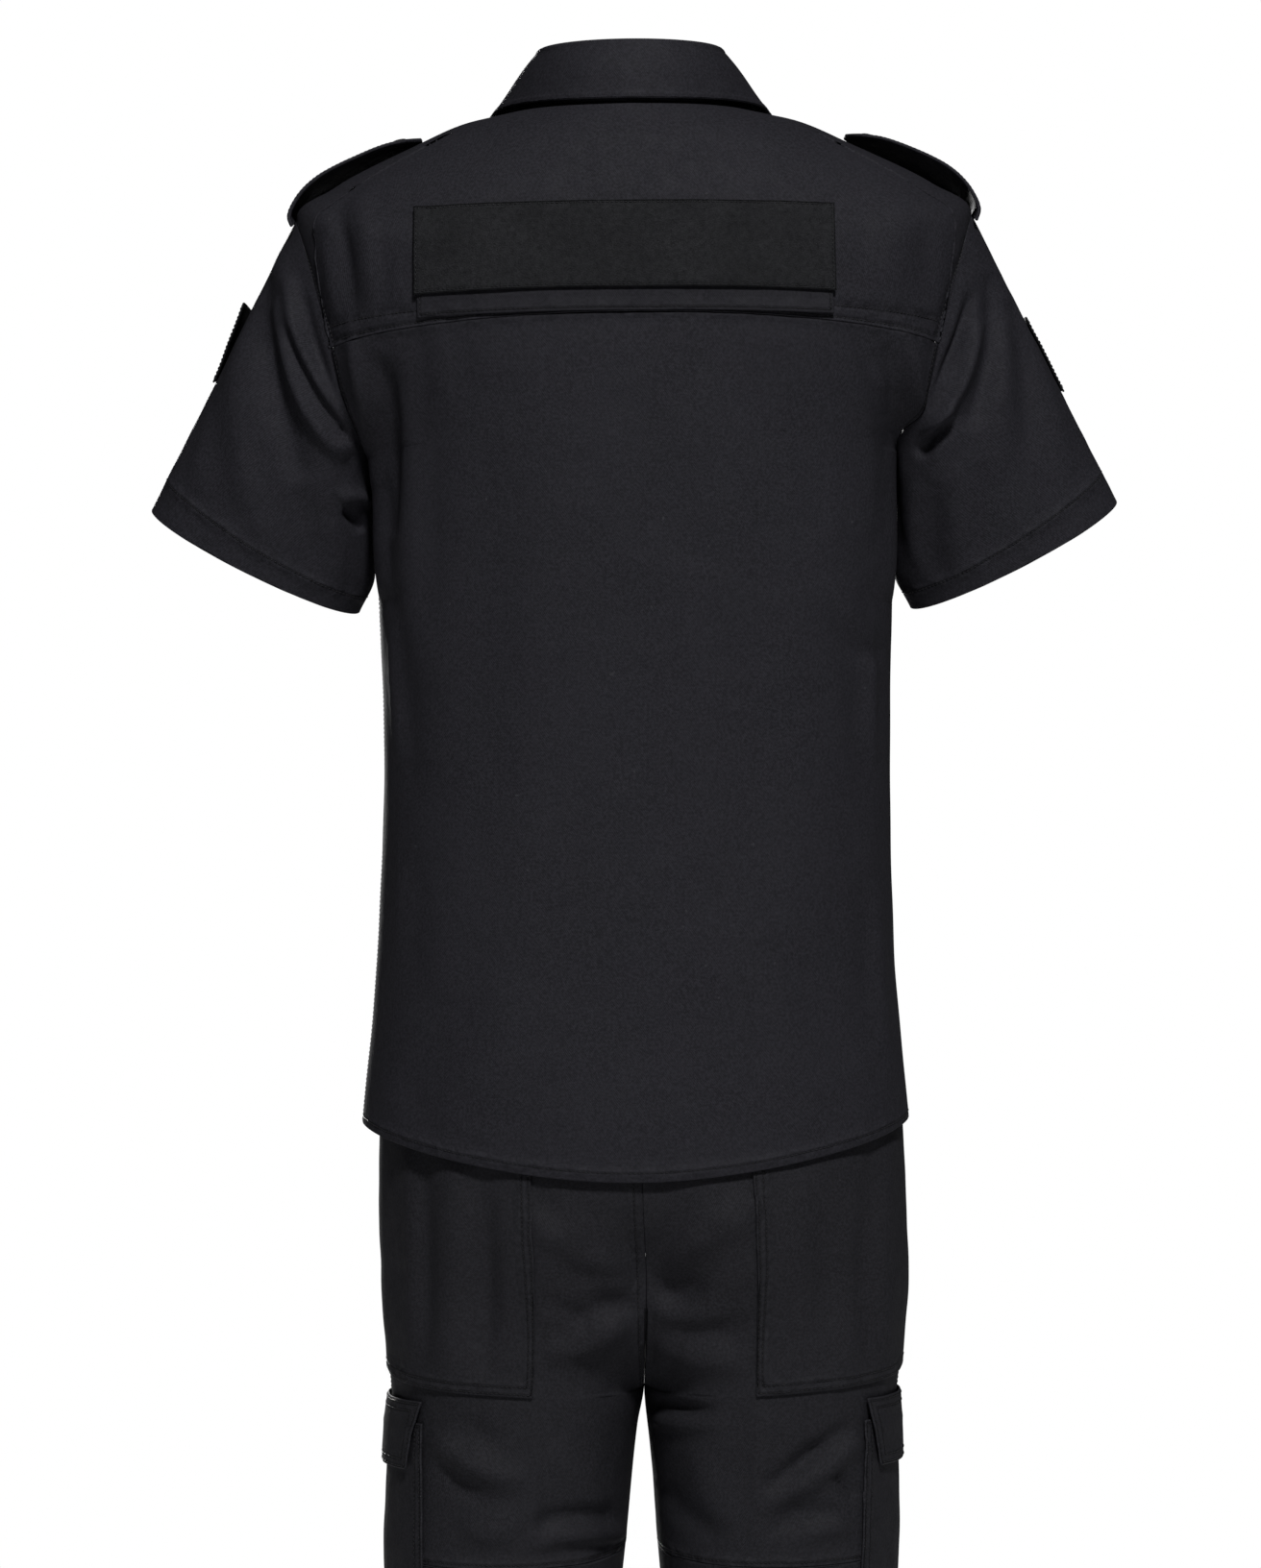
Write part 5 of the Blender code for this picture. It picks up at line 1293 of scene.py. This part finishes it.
def make_sleeve_patch(patch):
    surface = sleeve_surface(patch.side)

    def shares(size):
        inset = SLEEVE_PATCH_STITCH
        return crowded(0, size, 3.5, 0, inset, size - inset, size) / size

    share = shares(SLEEVE_PATCH_HEIGHT)
    angle = mix(patch.front, patch.back, shares(SLEEVE_PATCH_WIDTH))
    a, b = np.broadcast_arrays(angle[None], mix(patch.top, patch.bottom, share)[:, None])
    lift = mix(patch.top_lift, patch.bottom_lift, share**0.8)[:, None] + PATCH_CLOTH + np.zeros_like(a)

    def raised(phi, at):
        down = np.clip((at - patch.top) / (patch.bottom - patch.top), 0, 1)
        out = mix(patch.top_lift, patch.bottom_lift, down**0.8) + PATCH_CLOTH
        return surface(phi, at) + normals_of(surface, phi, at, -patch.side) * out[..., None]

    front, back = patch.front + SLEEVE_PATCH_STITCH_PHI, patch.back - SLEEVE_PATCH_STITCH_PHI
    low, high = patch.top + SLEEVE_PATCH_STITCH_SHARE, patch.bottom - SLEEVE_PATCH_STITCH_SHARE
    lines = [
        line_on(raised, spaced(front, back, 24), low, -patch.side),
        line_on(raised, spaced(front, back, 24), high, -patch.side),
        line_on(raised, front, spaced(low, high, 24), -patch.side),
        line_on(raised, back, spaced(low, high, 24), -patch.side),
    ]
    # the patch takes the darker twill of painted shade
    panel(
        f"cloth_sleeve_patch_{patch.name}", f"sleeve_patch_{patch.name}", surface, a, b, -patch.side,
        PATCH_CLOTH, SHADED_PATCH_TWILL, lines, lift=lift, seed=20, pucker=0.5,
    )
    stitches(f"stitches_sleeve_patch_{patch.name}", lines, THREAD)


def stand_point(theta, share):
    """Outer face of the collar stand: its foot goes down inside the neck seam."""
    seam = shirt(theta, NECK_V)
    foot = seam * np.array((STAND_FOOT_SHRINK, STAND_FOOT_SHRINK, 1)) - np.array((0, 0, STAND_FOOT_DEPTH))
    return mix(foot, ring_point(STAND_TOP, theta), np.asarray(share)[..., None])


def make_stand():
    theta = spaced(-STAND_END, STAND_END, 110)
    share = spaced(0, 1, 9)
    a, b = np.broadcast_arrays(theta[None], share[:, None])
    panel("cloth_collar_stand", "collar_stand", stand_point, a, b, -1, COLLAR_CLOTH, TWILL, seed=30)


def leaf_point(turn, share):
    """The collar's fall: turn goes round the neck from -1 to 1, share from the seam over to the edge."""
    turn, share = np.broadcast_arrays(np.asarray(turn, float), np.asarray(share, float))
    side = np.where(turn >= 0, 1.0, -1.0)
    station = row_at(LEAF, np.abs(turn))
    top = ring_point(STAND_TOP, np.radians(station.fold_angle) * side)
    flat = top * np.array((1, 1, 0))
    out = unit(flat)
    up = np.array((0, 0, 1.0))
    a, b = np.radians(station.edge_angle) * side, station.edge_v
    edge = shirt(a, b) + normals_of(shirt, a, b) * (station.lift + COLLAR_CLOTH)[..., None]
    rolled = top + out * (ROLL_OUT + ROLL_RADIUS) - up * ROLL_SINK
    along = np.clip((share - LEAF_FALL_START) / (1 - LEAF_FALL_START), 0, 1)[..., None]
    bow = out * LEAF_BOW * np.sin(pi * along) * (1 - along)
    fall = mix(rolled, edge, along) + bow
    angle = (share / LEAF_FALL_START * ROLL_TURN + ROLL_START)[..., None]
    roll = top + out * ROLL_OUT - up * ROLL_SINK + (out * -np.cos(angle) + up * np.sin(angle)) * ROLL_RADIUS
    return np.where((share >= LEAF_FALL_START)[..., None], fall, roll)


def make_leaf():
    half, length = LEAF_HALF_LENGTH, LEAF_FALL_LENGTH
    turns = crowded(-half, half, 4.5, -half, 4 - half, half - 4, half) / half
    fall = crowded(0, length, 4.0, length - LEAF_STITCH_INSET, length) / length
    fall = LEAF_FALL_START + fall * (1 - LEAF_FALL_START)
    shares = np.concatenate([spaced(0, LEAF_FALL_START, 8)[:-1], fall])
    a, b = np.broadcast_arrays(turns[None], shares[:, None])
    stitch_share = 1 - LEAF_STITCH_INSET / length * (1 - LEAF_FALL_START)
    ends = spaced(LEAF_FALL_START, stitch_share, 30)
    lines = [
        line_on(leaf_point, spaced(-LEAF_STITCH_END, LEAF_STITCH_END, 160), stitch_share, -1),
        line_on(leaf_point, -LEAF_STITCH_END, ends, -1),
        line_on(leaf_point, LEAF_STITCH_END, ends, -1),
    ]
    panel(
        "cloth_collar_leaf", "collar_leaf", leaf_point, a, b, -1, COLLAR_CLOTH, TWILL,
        lines, seed=33, pucker=0.6,
    )
    stitches("stitches_collar", lines, THREAD)


def strap_surface(side):
    def point(share, across):
        share, across = np.broadcast_arrays(np.asarray(share, float), np.asarray(across, float))
        station = row_at(STRAP, share)
        rise = RIGHT_STRAP_RISE * np.sin(pi * np.clip(share, 0, 1)) ** 0.7 if side < 0 else 0
        tilt = station.tilt + rise * RISE_TILT
        droop = station.droop + rise * RISE_DROOP
        z = station.z + rise * RISE_HEIGHT + tilt * across - droop * across * across
        x = station.x - station.twist * (1 - across) / 2
        return point_of(x * side + SHIRT.sway(TIP_V), across * station.half_width, z)

    return point


def make_strap(word, side):
    surface = strap_surface(side)
    length, half, row = STRAP_LENGTH, STRAP_HALF_WIDTH, STRAP_STITCH
    share = crowded(0, length, 4, 0, 3, length - 2, length, near=(0.6, 1.3, 2.4)) / length
    across = crowded(-half, half, 4, -half, -row, row, half) / half
    a, b = np.broadcast_arrays(share[:, None], across[None])
    lines = [line_on(surface, spaced(0.03, 0.93, 60), edge, -side) for edge in (row / half, -row / half)]
    panel(
        f"cloth_shoulder_strap_{word}", f"shoulder_strap_{word}", surface, a, b, -side, STRAP_CLOTH, TWILL,
        lines, seed=40 + side, pucker=0.5,
    )
    stitches(f"stitches_shoulder_strap_{word}", lines, THREAD)


def strap_share(x):
    low, high = 0.3, 1.0
    for _ in range(30):
        middle = (low + high) / 2
        low, high = (middle, high) if STRAP.x(middle) > x else (low, middle)
    return low


def theta_at(x, v):
    """theta of the shirt's back where the ring at v passes x."""
    square = SHIRT.square(v)
    share = np.clip((x - SHIRT.sway(v)) / SHIRT.half_width(v), -0.9999, 0.9999)
    power = np.abs(share) ** square
    return np.arctan((power / (1 - power)) ** (1 / square)) * np.sign(share)


def yoke_place(x, z):
    """(theta, v) of the shirt's back at each (x, z), by halving v."""
    x, z = np.broadcast_arrays(x, z)
    low, high = np.full(x.shape, NECK_V), np.full(x.shape, HEM_V)
    for _ in range(22):
        v = (low + high) / 2
        above = plain_shirt(theta_at(x, v), v)[..., 2] > z
        low, high = np.where(above, v, low), np.where(above, high, v)
    return theta_at(x, v), v


def back_patch(name, half_width, top, bottom, thick, material, lift_of, stitch, grid, seed, sides, pucker):
    """A flat panel on the yoke, which follows the shirt under it."""
    near = (0.7, 1.5, 2.6)
    inner = half_width - stitch
    xs = crowded(-half_width, half_width, grid, -half_width, -inner, inner, half_width, near=near)
    zs = crowded(bottom, top, grid, bottom, bottom + stitch, top - stitch, top, near=near)[::-1]
    x, z = np.meshgrid(xs, zs)
    droop = z - LOOP_DROOP * (x / half_width) ** 2
    theta, v = yoke_place(LOOP_CENTRE_X + x, droop)
    points, normals = shirt(theta, v), normals_of(shirt, theta, v)
    points = points + normals * (lift_of(x, z) + thick)[..., None]

    def place(px, pz):
        px, pz = np.broadcast_arrays(px, pz)
        pt, pv = yoke_place(LOOP_CENTRE_X + px, pz - LOOP_DROOP * (px / half_width) ** 2)
        n = normals_of(shirt, pt, pv)
        return Line(shirt(pt, pv) + n * (lift_of(px, pz) + thick)[..., None], n)

    w, low, high = half_width - stitch, bottom + stitch, top - stitch
    every = [
        place(spaced(-w, w, 90), high),
        place(spaced(-w, w, 90), low),
        place(-w, spaced(low, high, 30)),
        place(w, spaced(low, high, 30)),
    ]
    lines = [every[k] for k in sides]
    points, marks = sewn(points, normals, lines, seed, pucker=pucker)
    like = normals[middle_of(points)]
    piece = shell(f"cloth_{name}", points, grid_normals(points, False, like), thick, material, False, marks)
    stands_for(piece, name)
    stitches(f"stitches_{name}", lines, THREAD)


def make_back_panels():
    def base_lift(x, z):
        free = smoothstep((-x - 60) / 60) * smoothstep((LOOP_BOTTOM_Z - z) / 14)
        return LAY_GAP + free * 1.6

    # the base strip takes the darker twill of painted shade
    back_patch(
        "back_panel_base", LOOP_HALF_WIDTH - LOOP_BASE_INSET, LOOP_TOP_Z - 1, LOOP_BASE_BOTTOM_Z, PATCH_CLOTH,
        SHADED_BASE_TWILL, base_lift, 2.2, 4.5, 50, (1, 2, 3), 0.7,
    )

    def loop_lift(x, z):
        under = LAY_GAP + PATCH_CLOTH + 0.3
        low = smoothstep((-110 - z) / 26)
        return under + low * (0.5 + 0.35 * waves(x, x * 0.1, 90, 2))

    back_patch(
        "back_loop_panel", LOOP_HALF_WIDTH, LOOP_TOP_Z, LOOP_BOTTOM_Z, LOOP_CLOTH,
        LOOP, loop_lift, 2.0, 3.4, 54, (0, 1, 2, 3), 0.9,
    )


# --- trousers -----------------------------------------------------------------------------------------------


def turn_at(x, z, way):
    """turn of the trousers at height z where they pass x, on the back (way 1) or on the front (-1)."""
    low, high = 0.0, 1.0
    for _ in range(30):
        turn = (low + high) / 2
        beyond = plain_trousers(np.array(way * turn), np.array(float(z)))[0] > x
        low, high = (turn, high) if beyond else (low, turn)
    return way * turn


def knee_dip(turn, z, way):
    """How far the seam behind the knee dips at turn."""
    near = smoothstep(1 - np.abs(z - KNEE_SEAM_Z) / KNEE_SEAM_REACH)
    return KNEE_SEAM_DIP * near * np.sin(pi * np.abs(turn)) if way > 0 else 0 * turn * z


def leg_rows(start, end, step, *places, **settings):
    """Heights down a leg, from the upper one to the lower one."""
    return crowded(start, end, step, *places, **settings)[::-1]


def make_leg_panel(node, side, way, heights, lines, step):
    width = LEG_HALF_ROUND
    turns = crowded(0, width, step, 0, 4, width - 5, width) / width * way
    a, z = np.broadcast_arrays(turns[None], heights[:, None])
    z = z - knee_dip(a, z, way)
    panel(
        f"cloth_{node}", node, trouser_surface(side), a, z, side, TROUSER_CLOTH, TROUSER_TWILL,
        lines, seed=60 + side,
    )
    stitches(f"stitches_{node}", lines, THREAD)


def make_trousers():
    for side, word in ((1, "left"), (-1, "right")):
        surface = trouser_surface(side)

        def side_line(way, high, low):
            return line_on(surface, 0.017 * way, spaced(high, low, 120), side)

        def hem_line(way):
            return line_on(surface, spaced(0.01, 0.99, 70) * way, ANKLE_Z + LEG_HEM_STITCH, side)

        seat = [line_on(surface, 0.979, spaced(BAND_Z, CROTCH_Z + 4, 70), side)] if side > 0 else []
        row = spaced(0.01, 0.99, 70)
        knee = line_on(surface, row, KNEE_SEAM_Z + 3.2 - knee_dip(row, KNEE_SEAM_Z + 0 * row, 1), side)
        heights = leg_rows(
            KNEE_SEAM_Z, BAND_Z, 10, KNEE_SEAM_Z, KNEE_SEAM_Z + 6, CROTCH_Z, fine=[(KNEE_SEAM_Z, -700, 3.8)]
        )
        lines = [side_line(1, BAND_Z, KNEE_SEAM_Z), *seat, knee]
        make_leg_panel(f"trouser_back_{word}", side, 1, heights, lines, 3.8)
        heights = leg_rows(ANKLE_Z, KNEE_SEAM_Z, LEG_GRID, ANKLE_Z, ANKLE_Z + LEG_HEM_STITCH, KNEE_SEAM_Z)
        lines = [side_line(1, KNEE_SEAM_Z, ANKLE_Z), hem_line(1)]
        make_leg_panel(f"trouser_calf_{word}", side, 1, heights, lines, LEG_GRID)
        heights = leg_rows(ANKLE_Z, BAND_Z, LEG_GRID, ANKLE_Z, ANKLE_Z + LEG_HEM_STITCH)
        lines = [side_line(-1, BAND_Z, ANKLE_Z), hem_line(-1)]
        make_leg_panel(f"trouser_front_{word}", side, -1, heights, lines, LEG_GRID)


def make_waistband():
    rows = (BAND_Z + BAND_STITCH, WAIST_Z - BAND_STITCH)
    z = crowded(BAND_Z, WAIST_Z, 5, BAND_Z, *rows, WAIST_Z, near=(0.8, 1.7))[::-1]
    turn = spaced(-1, 1, 80)
    left, right = trouser_surface(1), trouser_surface(-1)
    halves = ((left, turn), (right, turn[::-1][1:-1]))
    grids = [surface(*np.broadcast_arrays(turns[None], z[:, None])) for surface, turns in halves]
    points = np.concatenate(grids, 1)
    i, j = middle_of(points)
    like = normals_of(left, turn[j], z[i], 1)
    piece = shell(
        "cloth_waistband", points, grid_normals(points, True, like), TROUSER_CLOTH, TROUSER_TWILL, wrap=True
    )
    stands_for(piece, "waistband")
    lines = [
        line_on(surface, spaced(-0.99, 0.99, 110), level, side)
        for surface, side in ((left, 1), (right, -1))
        for level in rows
    ]
    stitches("stitches_waistband", lines, THREAD)


def make_fly():
    surface = trouser_surface(1)
    z = crowded(FLY_BOTTOM_Z, BAND_Z - 1, 5, FLY_BOTTOM_Z)[::-1]
    outer = np.array([turn_at(FLY_WIDTH, level, -1) for level in z])
    share = crowded(0, FLY_WIDTH, 4, 0, 3, FLY_WIDTH) / FLY_WIDTH
    a = mix(outer[:, None], -0.995, share[None])
    top = LAY_GAP + TROUSER_CLOTH
    inner = np.array([mix(t, -0.995, 0.12) for t in outer])
    lines = [line_on(surface, inner, z, 1, top)]
    panel(
        "cloth_fly", "fly", surface, a, z[:, None], 1, TROUSER_CLOTH, TROUSER_TWILL,
        lines, lift=np.full(a.shape, top), seed=70,
    )
    stitches("stitches_fly", lines, THREAD)


def trouser_patch(name, side, edges, ends, thick, lift, insets, seed, pucker=1.0, closed=(1, 1, 1, 1)):
    """A patch on a trouser half: its two edges are functions of z, its top and bottom functions of turn."""
    front, back = edges
    top, bottom = ends
    surface = trouser_surface(side)
    middle = (top(0) + bottom(0)) / 2
    width = 150 * (back(middle) - front(middle)) / 0.5 * 0.9
    height = top(0) - bottom(0)
    near = (0.8, 1.7, 3.0)
    s = crowded(0, width, GRID, 0, *insets, *(width - i for i in insets), width, near=near) / width
    d = crowded(0, height, GRID, 0, *insets, *(height - i for i in insets), height, near=near) / height

    def place(across, down):
        across, down = np.broadcast_arrays(np.asarray(across, float), np.asarray(down, float))
        level = top(0) - down * height
        z = level
        for _ in range(3):
            turn = mix(front(z), back(z), across)
            z = level + (bottom(turn) - bottom(0)) * down + (top(turn) - top(0)) * (1 - down)
        normals = normals_of(surface, turn, z, side)
        return surface(turn, z) + normals * (lift(down, across) + thick)[..., None], normals

    points, normals = place(s[None], d[:, None])
    lines = []
    for inset in insets:
        i, j = inset / width, inset / height
        paths = [
            (spaced(i, 1 - i, 80), j),
            (spaced(i, 1 - i, 80), 1 - j),
            (i, spaced(j, 1 - j, 80)),
            (1 - i, spaced(j, 1 - j, 80)),
        ]
        lines += [Line(*place(*path)) for path, wanted in zip(paths, closed) if wanted]
    points, marks = sewn(points, normals, lines, seed, pucker=pucker)
    like = normals[middle_of(points)]
    normals = grid_normals(points, False, like)
    piece = shell(f"cloth_{name}", points, normals, thick, TROUSER_TWILL, False, marks)
    stands_for(piece, name)
    stitches(f"stitches_{name}", lines, THREAD)


def table_of(function, start, end, count=24):
    """The function's values between two places, as a quick curve."""
    keys = np.linspace(start, end, count)
    values = [function(key) for key in keys]
    if start > end:
        keys, values = keys[::-1], values[::-1]
    return lambda key: np.interp(key, keys, values)


def make_seat_pocket(word, side):
    def back_of(z):
        share = (z - SEAT_POCKET_TOP_Z) / (SEAT_POCKET_BOTTOM_Z - SEAT_POCKET_TOP_Z)
        return turn_at(mix(SEAT_POCKET_TOP_X, SEAT_POCKET_BOTTOM_X, share), z, 1)

    back = table_of(back_of, SEAT_POCKET_BOTTOM_Z, SEAT_POCKET_TOP_Z)
    end = back(SEAT_POCKET_BOTTOM_Z)

    def bottom(turn):
        return mix(SEAT_POCKET_SIDE_Z, SEAT_POCKET_BOTTOM_Z, np.clip(turn / end, 0, 1) ** 0.5)

    def level(turn):
        return SEAT_POCKET_TOP_Z + 0 * turn

    def lift(down, across):
        return POCKET_GAP + 0 * down

    edges = (lambda z: 0.01 + 0 * z, back)
    trouser_patch(
        f"seat_pocket_{word}", side, edges, (level, bottom), PATCH_CLOTH, lift, (1.8, 6.3), 80 + side,
        closed=(0, 1, 0, 1),
    )


def make_cargo(side, word):
    for piece in CARGO_PIECES:

        def edge(way):
            def at(z):
                share = (z - piece.top) / (piece.bottom - piece.top)
                return turn_at(mix(piece.top_x, piece.bottom_x, share), z, way)

            return table_of(at, piece.bottom, piece.top)

        def lift(down, across):
            swell = piece.swell * np.sin(pi * across) * np.sin(pi * down)
            return mix(piece.top_lift, piece.bottom_lift, np.minimum(2.5 * down, 1)) + swell

        ends = (lambda turn: piece.top + 0 * turn, lambda turn: piece.bottom + 0 * turn)
        trouser_patch(
            f"{piece.name}_{word}", side, (edge(-1), edge(1)), ends, CARGO_CLOTH, lift, (1.8, 6.5), 90 + side,
            pucker=0.6,
        )


# --- buttons ------------------------------------------------------------------------------------------------


def make_button(name, node, place, normal, radius):
    """A turned button with a raised rim and a dished face, and the crossed thread that holds it."""
    segments = 48
    place = np.array(place)
    up = np.array(normal, float)
    side = unit(np.cross(up, np.array((0.3, 1.0, 0.2))))
    other = np.cross(up, side)
    vertices, faces = [], []
    rings = []
    for r, h in BUTTON_PROFILE:
        rise = up * (BUTTON_GAP + h * BUTTON_DEPTH)
        if r == 0:
            vertices.append(place + rise)
            rings.append([len(vertices) - 1])
            continue
        ring = []
        for k in range(segments):
            angle = 2 * pi * k / segments
            vertices.append(place + (side * cos(angle) + other * sin(angle)) * r * radius + rise)
            ring.append(len(vertices) - 1)
        rings.append(ring)
    for a, b in zip(rings, rings[1:]):
        for k in range(segments):
            n = (k + 1) % segments
            if len(a) == 1:
                faces.append([a[0], b[k], b[n]])
            elif len(b) == 1:
                faces.append([a[k], b[0], a[n]])
            else:
                faces.append([a[k], b[k], b[n], a[n]])
    piece = new_object(name, np.array(vertices), faces, HORN)
    mend_normals(piece)
    stands_for(piece, node)
    lines = []
    reach = radius * 0.24
    face = place + up * (BUTTON_GAP + BUTTON_FACE * BUTTON_DEPTH)
    for way in (1, -1):
        start = face + (side + other * way) * reach * 0.9
        end = face - (side + other * way) * reach * 0.9
        for offset in (-0.35, 0.35):
            shift = unit(np.cross(up, end - start)) * offset
            t = spaced(0, 1, 6)[:, None]
            path = mix(start, end, t) + shift
            lines.append(Line(path, np.repeat(up[None], 7, 0)))
    length = lines[0].length[-1]
    thread_name = name.replace("button", "button_thread")
    stitches(thread_name, lines, THREAD, sunk=-0.18 - STITCH_RADIUS * 0.2, pitch=length)


def make_buttons():
    top = LAY_GAP + SHIRT_CLOTH
    for i, v in enumerate(spaced(FRONT_BUTTON_TOP_V, FRONT_BUTTON_BOTTOM_V, FRONT_BUTTONS - 1)):
        a, b = np.array(pi), np.array(v)
        normal = normals_of(shirt, a, b)
        place = shirt(a, b) + normal * top
        make_button(f"button_front_{i + 1}", f"front_button_{i + 1}", place, normal, BUTTON_RADIUS)
    for side, word in ((1, "left"), (-1, "right")):
        surface = strap_surface(side)
        a, b = np.array(strap_share(STRAP_BUTTON_X)), np.array(0.0)
        normal = normals_of(surface, a, b, -side)
        make_button(f"button_strap_{word}", f"strap_button_{word}", surface(a, b), normal, BUTTON_RADIUS)
    surface = trouser_surface(1)
    a, b = np.array(-0.99), np.array((WAIST_Z + BAND_Z) / 2)
    normal = normals_of(surface, a, b, 1)
    make_button("button_waist", "waist_button", surface(a, b), normal, WAIST_BUTTON_RADIUS)


# --- studio -------------------------------------------------------------------------------------------------

CAMERA_AT = Vector((0.0044, 4.0, -0.462))
CAMERA_ROLL = radians(-0.52)
VIEW_HEIGHT = 1.061  # of the frame, in metres, at the garment
SENSOR = 36.0
KEY_LIGHTS = {"key_1": ((-0.8, 4.6, 4.3), 440), "key_-1": ((1.2, -5.4, 0.4), 250)}  # place, watts
KEY_TARGET, KEY_SIZE = (0, 0, -0.5), 1.0


def make_camera():
    data = bpy.data.cameras.new("camera")
    data.sensor_fit = "AUTO"
    data.sensor_width = SENSOR
    data.lens = SENSOR * CAMERA_AT.y / VIEW_HEIGHT
    data.clip_start, data.clip_end = 0.05, 60
    camera = bpy.data.objects.new("camera", data)
    camera.location = CAMERA_AT
    camera.rotation_mode = "QUATERNION"
    look = Vector((0, -1, 0)).to_track_quat("-Z", "Y")
    camera.rotation_quaternion = look @ Quaternion((0, 0, 1), CAMERA_ROLL)
    bpy.context.scene.collection.objects.link(camera)
    bpy.context.scene.camera = camera


def make_light(name, place, target, size, power):
    data = bpy.data.lights.new(name, "AREA")
    data.shape = "DISK"
    data.size = size
    data.energy = power
    light = bpy.data.objects.new(name, data)
    light.location = place
    light.rotation_mode = "QUATERNION"
    light.rotation_quaternion = (Vector(target) - Vector(place)).to_track_quat("-Z", "Y")
    bpy.context.scene.collection.objects.link(light)


AMBIENT = 0.03


def make_world():
    scene = bpy.context.scene
    world = bpy.data.worlds.new("studio")
    world.use_nodes = True
    tree = world.node_tree
    background = tree.nodes["Background"]
    background.inputs["Color"].default_value = (1, 1, 1, 1)
    background.inputs["Strength"].default_value = AMBIENT
    seen = tree.nodes.new("ShaderNodeBackground")
    seen.inputs["Color"].default_value = (1, 1, 1, 1)
    seen.inputs["Strength"].default_value = 1.0
    path = tree.nodes.new("ShaderNodeLightPath")
    join = tree.nodes.new("ShaderNodeMixShader")
    tree.links.new(path.outputs["Is Camera Ray"], join.inputs["Fac"])
    tree.links.new(background.outputs[0], join.inputs[1])
    tree.links.new(seen.outputs[0], join.inputs[2])
    tree.links.new(join.outputs[0], tree.nodes["World Output"].inputs["Surface"])
    scene.world = world
    scene.view_settings.view_transform = "Standard"


FLOOR_GAP = 0.02
FLOOR_HALF, FLOOR_DEPTH = 2.9, 0.01


def make_floor():
    """A plain pale floor: a large thin slab under the trouser hems."""
    half = FLOOR_HALF
    top = CAD_LOW.z - FLOOR_GAP
    corners = [(x, y, z) for z in (top - FLOOR_DEPTH, top) for x in (-half, half) for y in (-half, half)]
    mesh = bpy.data.meshes.new("floor")
    faces = [(0, 1, 3, 2), (4, 6, 7, 5), (0, 4, 5, 1), (2, 3, 7, 6), (0, 2, 6, 4), (1, 5, 7, 3)]
    mesh.from_pydata(corners, [], faces)
    g = Graph("floor")
    place = g.add("ShaderNodeTexCoord").outputs["Object"]
    g.link(g.blend(g.noise(place, 3, 3), (0.80, 0.80, 0.81), (0.84, 0.84, 0.85)), g.shader.inputs["Base Color"])
    g.shader.inputs["Roughness"].default_value = 0.85
    mesh.materials.append(g.material)
    floor = bpy.data.objects.new("floor", mesh)
    bpy.context.scene.collection.objects.link(floor)


def make_studio():
    make_camera()
    make_world()
    make_floor()
    for name, (place, power) in KEY_LIGHTS.items():
        make_light(name, place, KEY_TARGET, KEY_SIZE, power)


def main():
    make_studio()
    make_back()
    make_yoke()
    make_front("left", 1)
    make_front("right", -1)
    make_placket()
    make_stand()
    make_leaf()
    for side, word in ((1, "left"), (-1, "right")):
        make_sleeve(word, side)
        make_strap(word, side)
    for patch in SLEEVE_PATCHES:
        make_sleeve_patch(patch)
    make_back_panels()
    make_trousers()
    make_waistband()
    make_fly()
    for side, word in ((1, "left"), (-1, "right")):
        make_seat_pocket(word, side)
        make_cargo(side, word)
    make_buttons()


main()
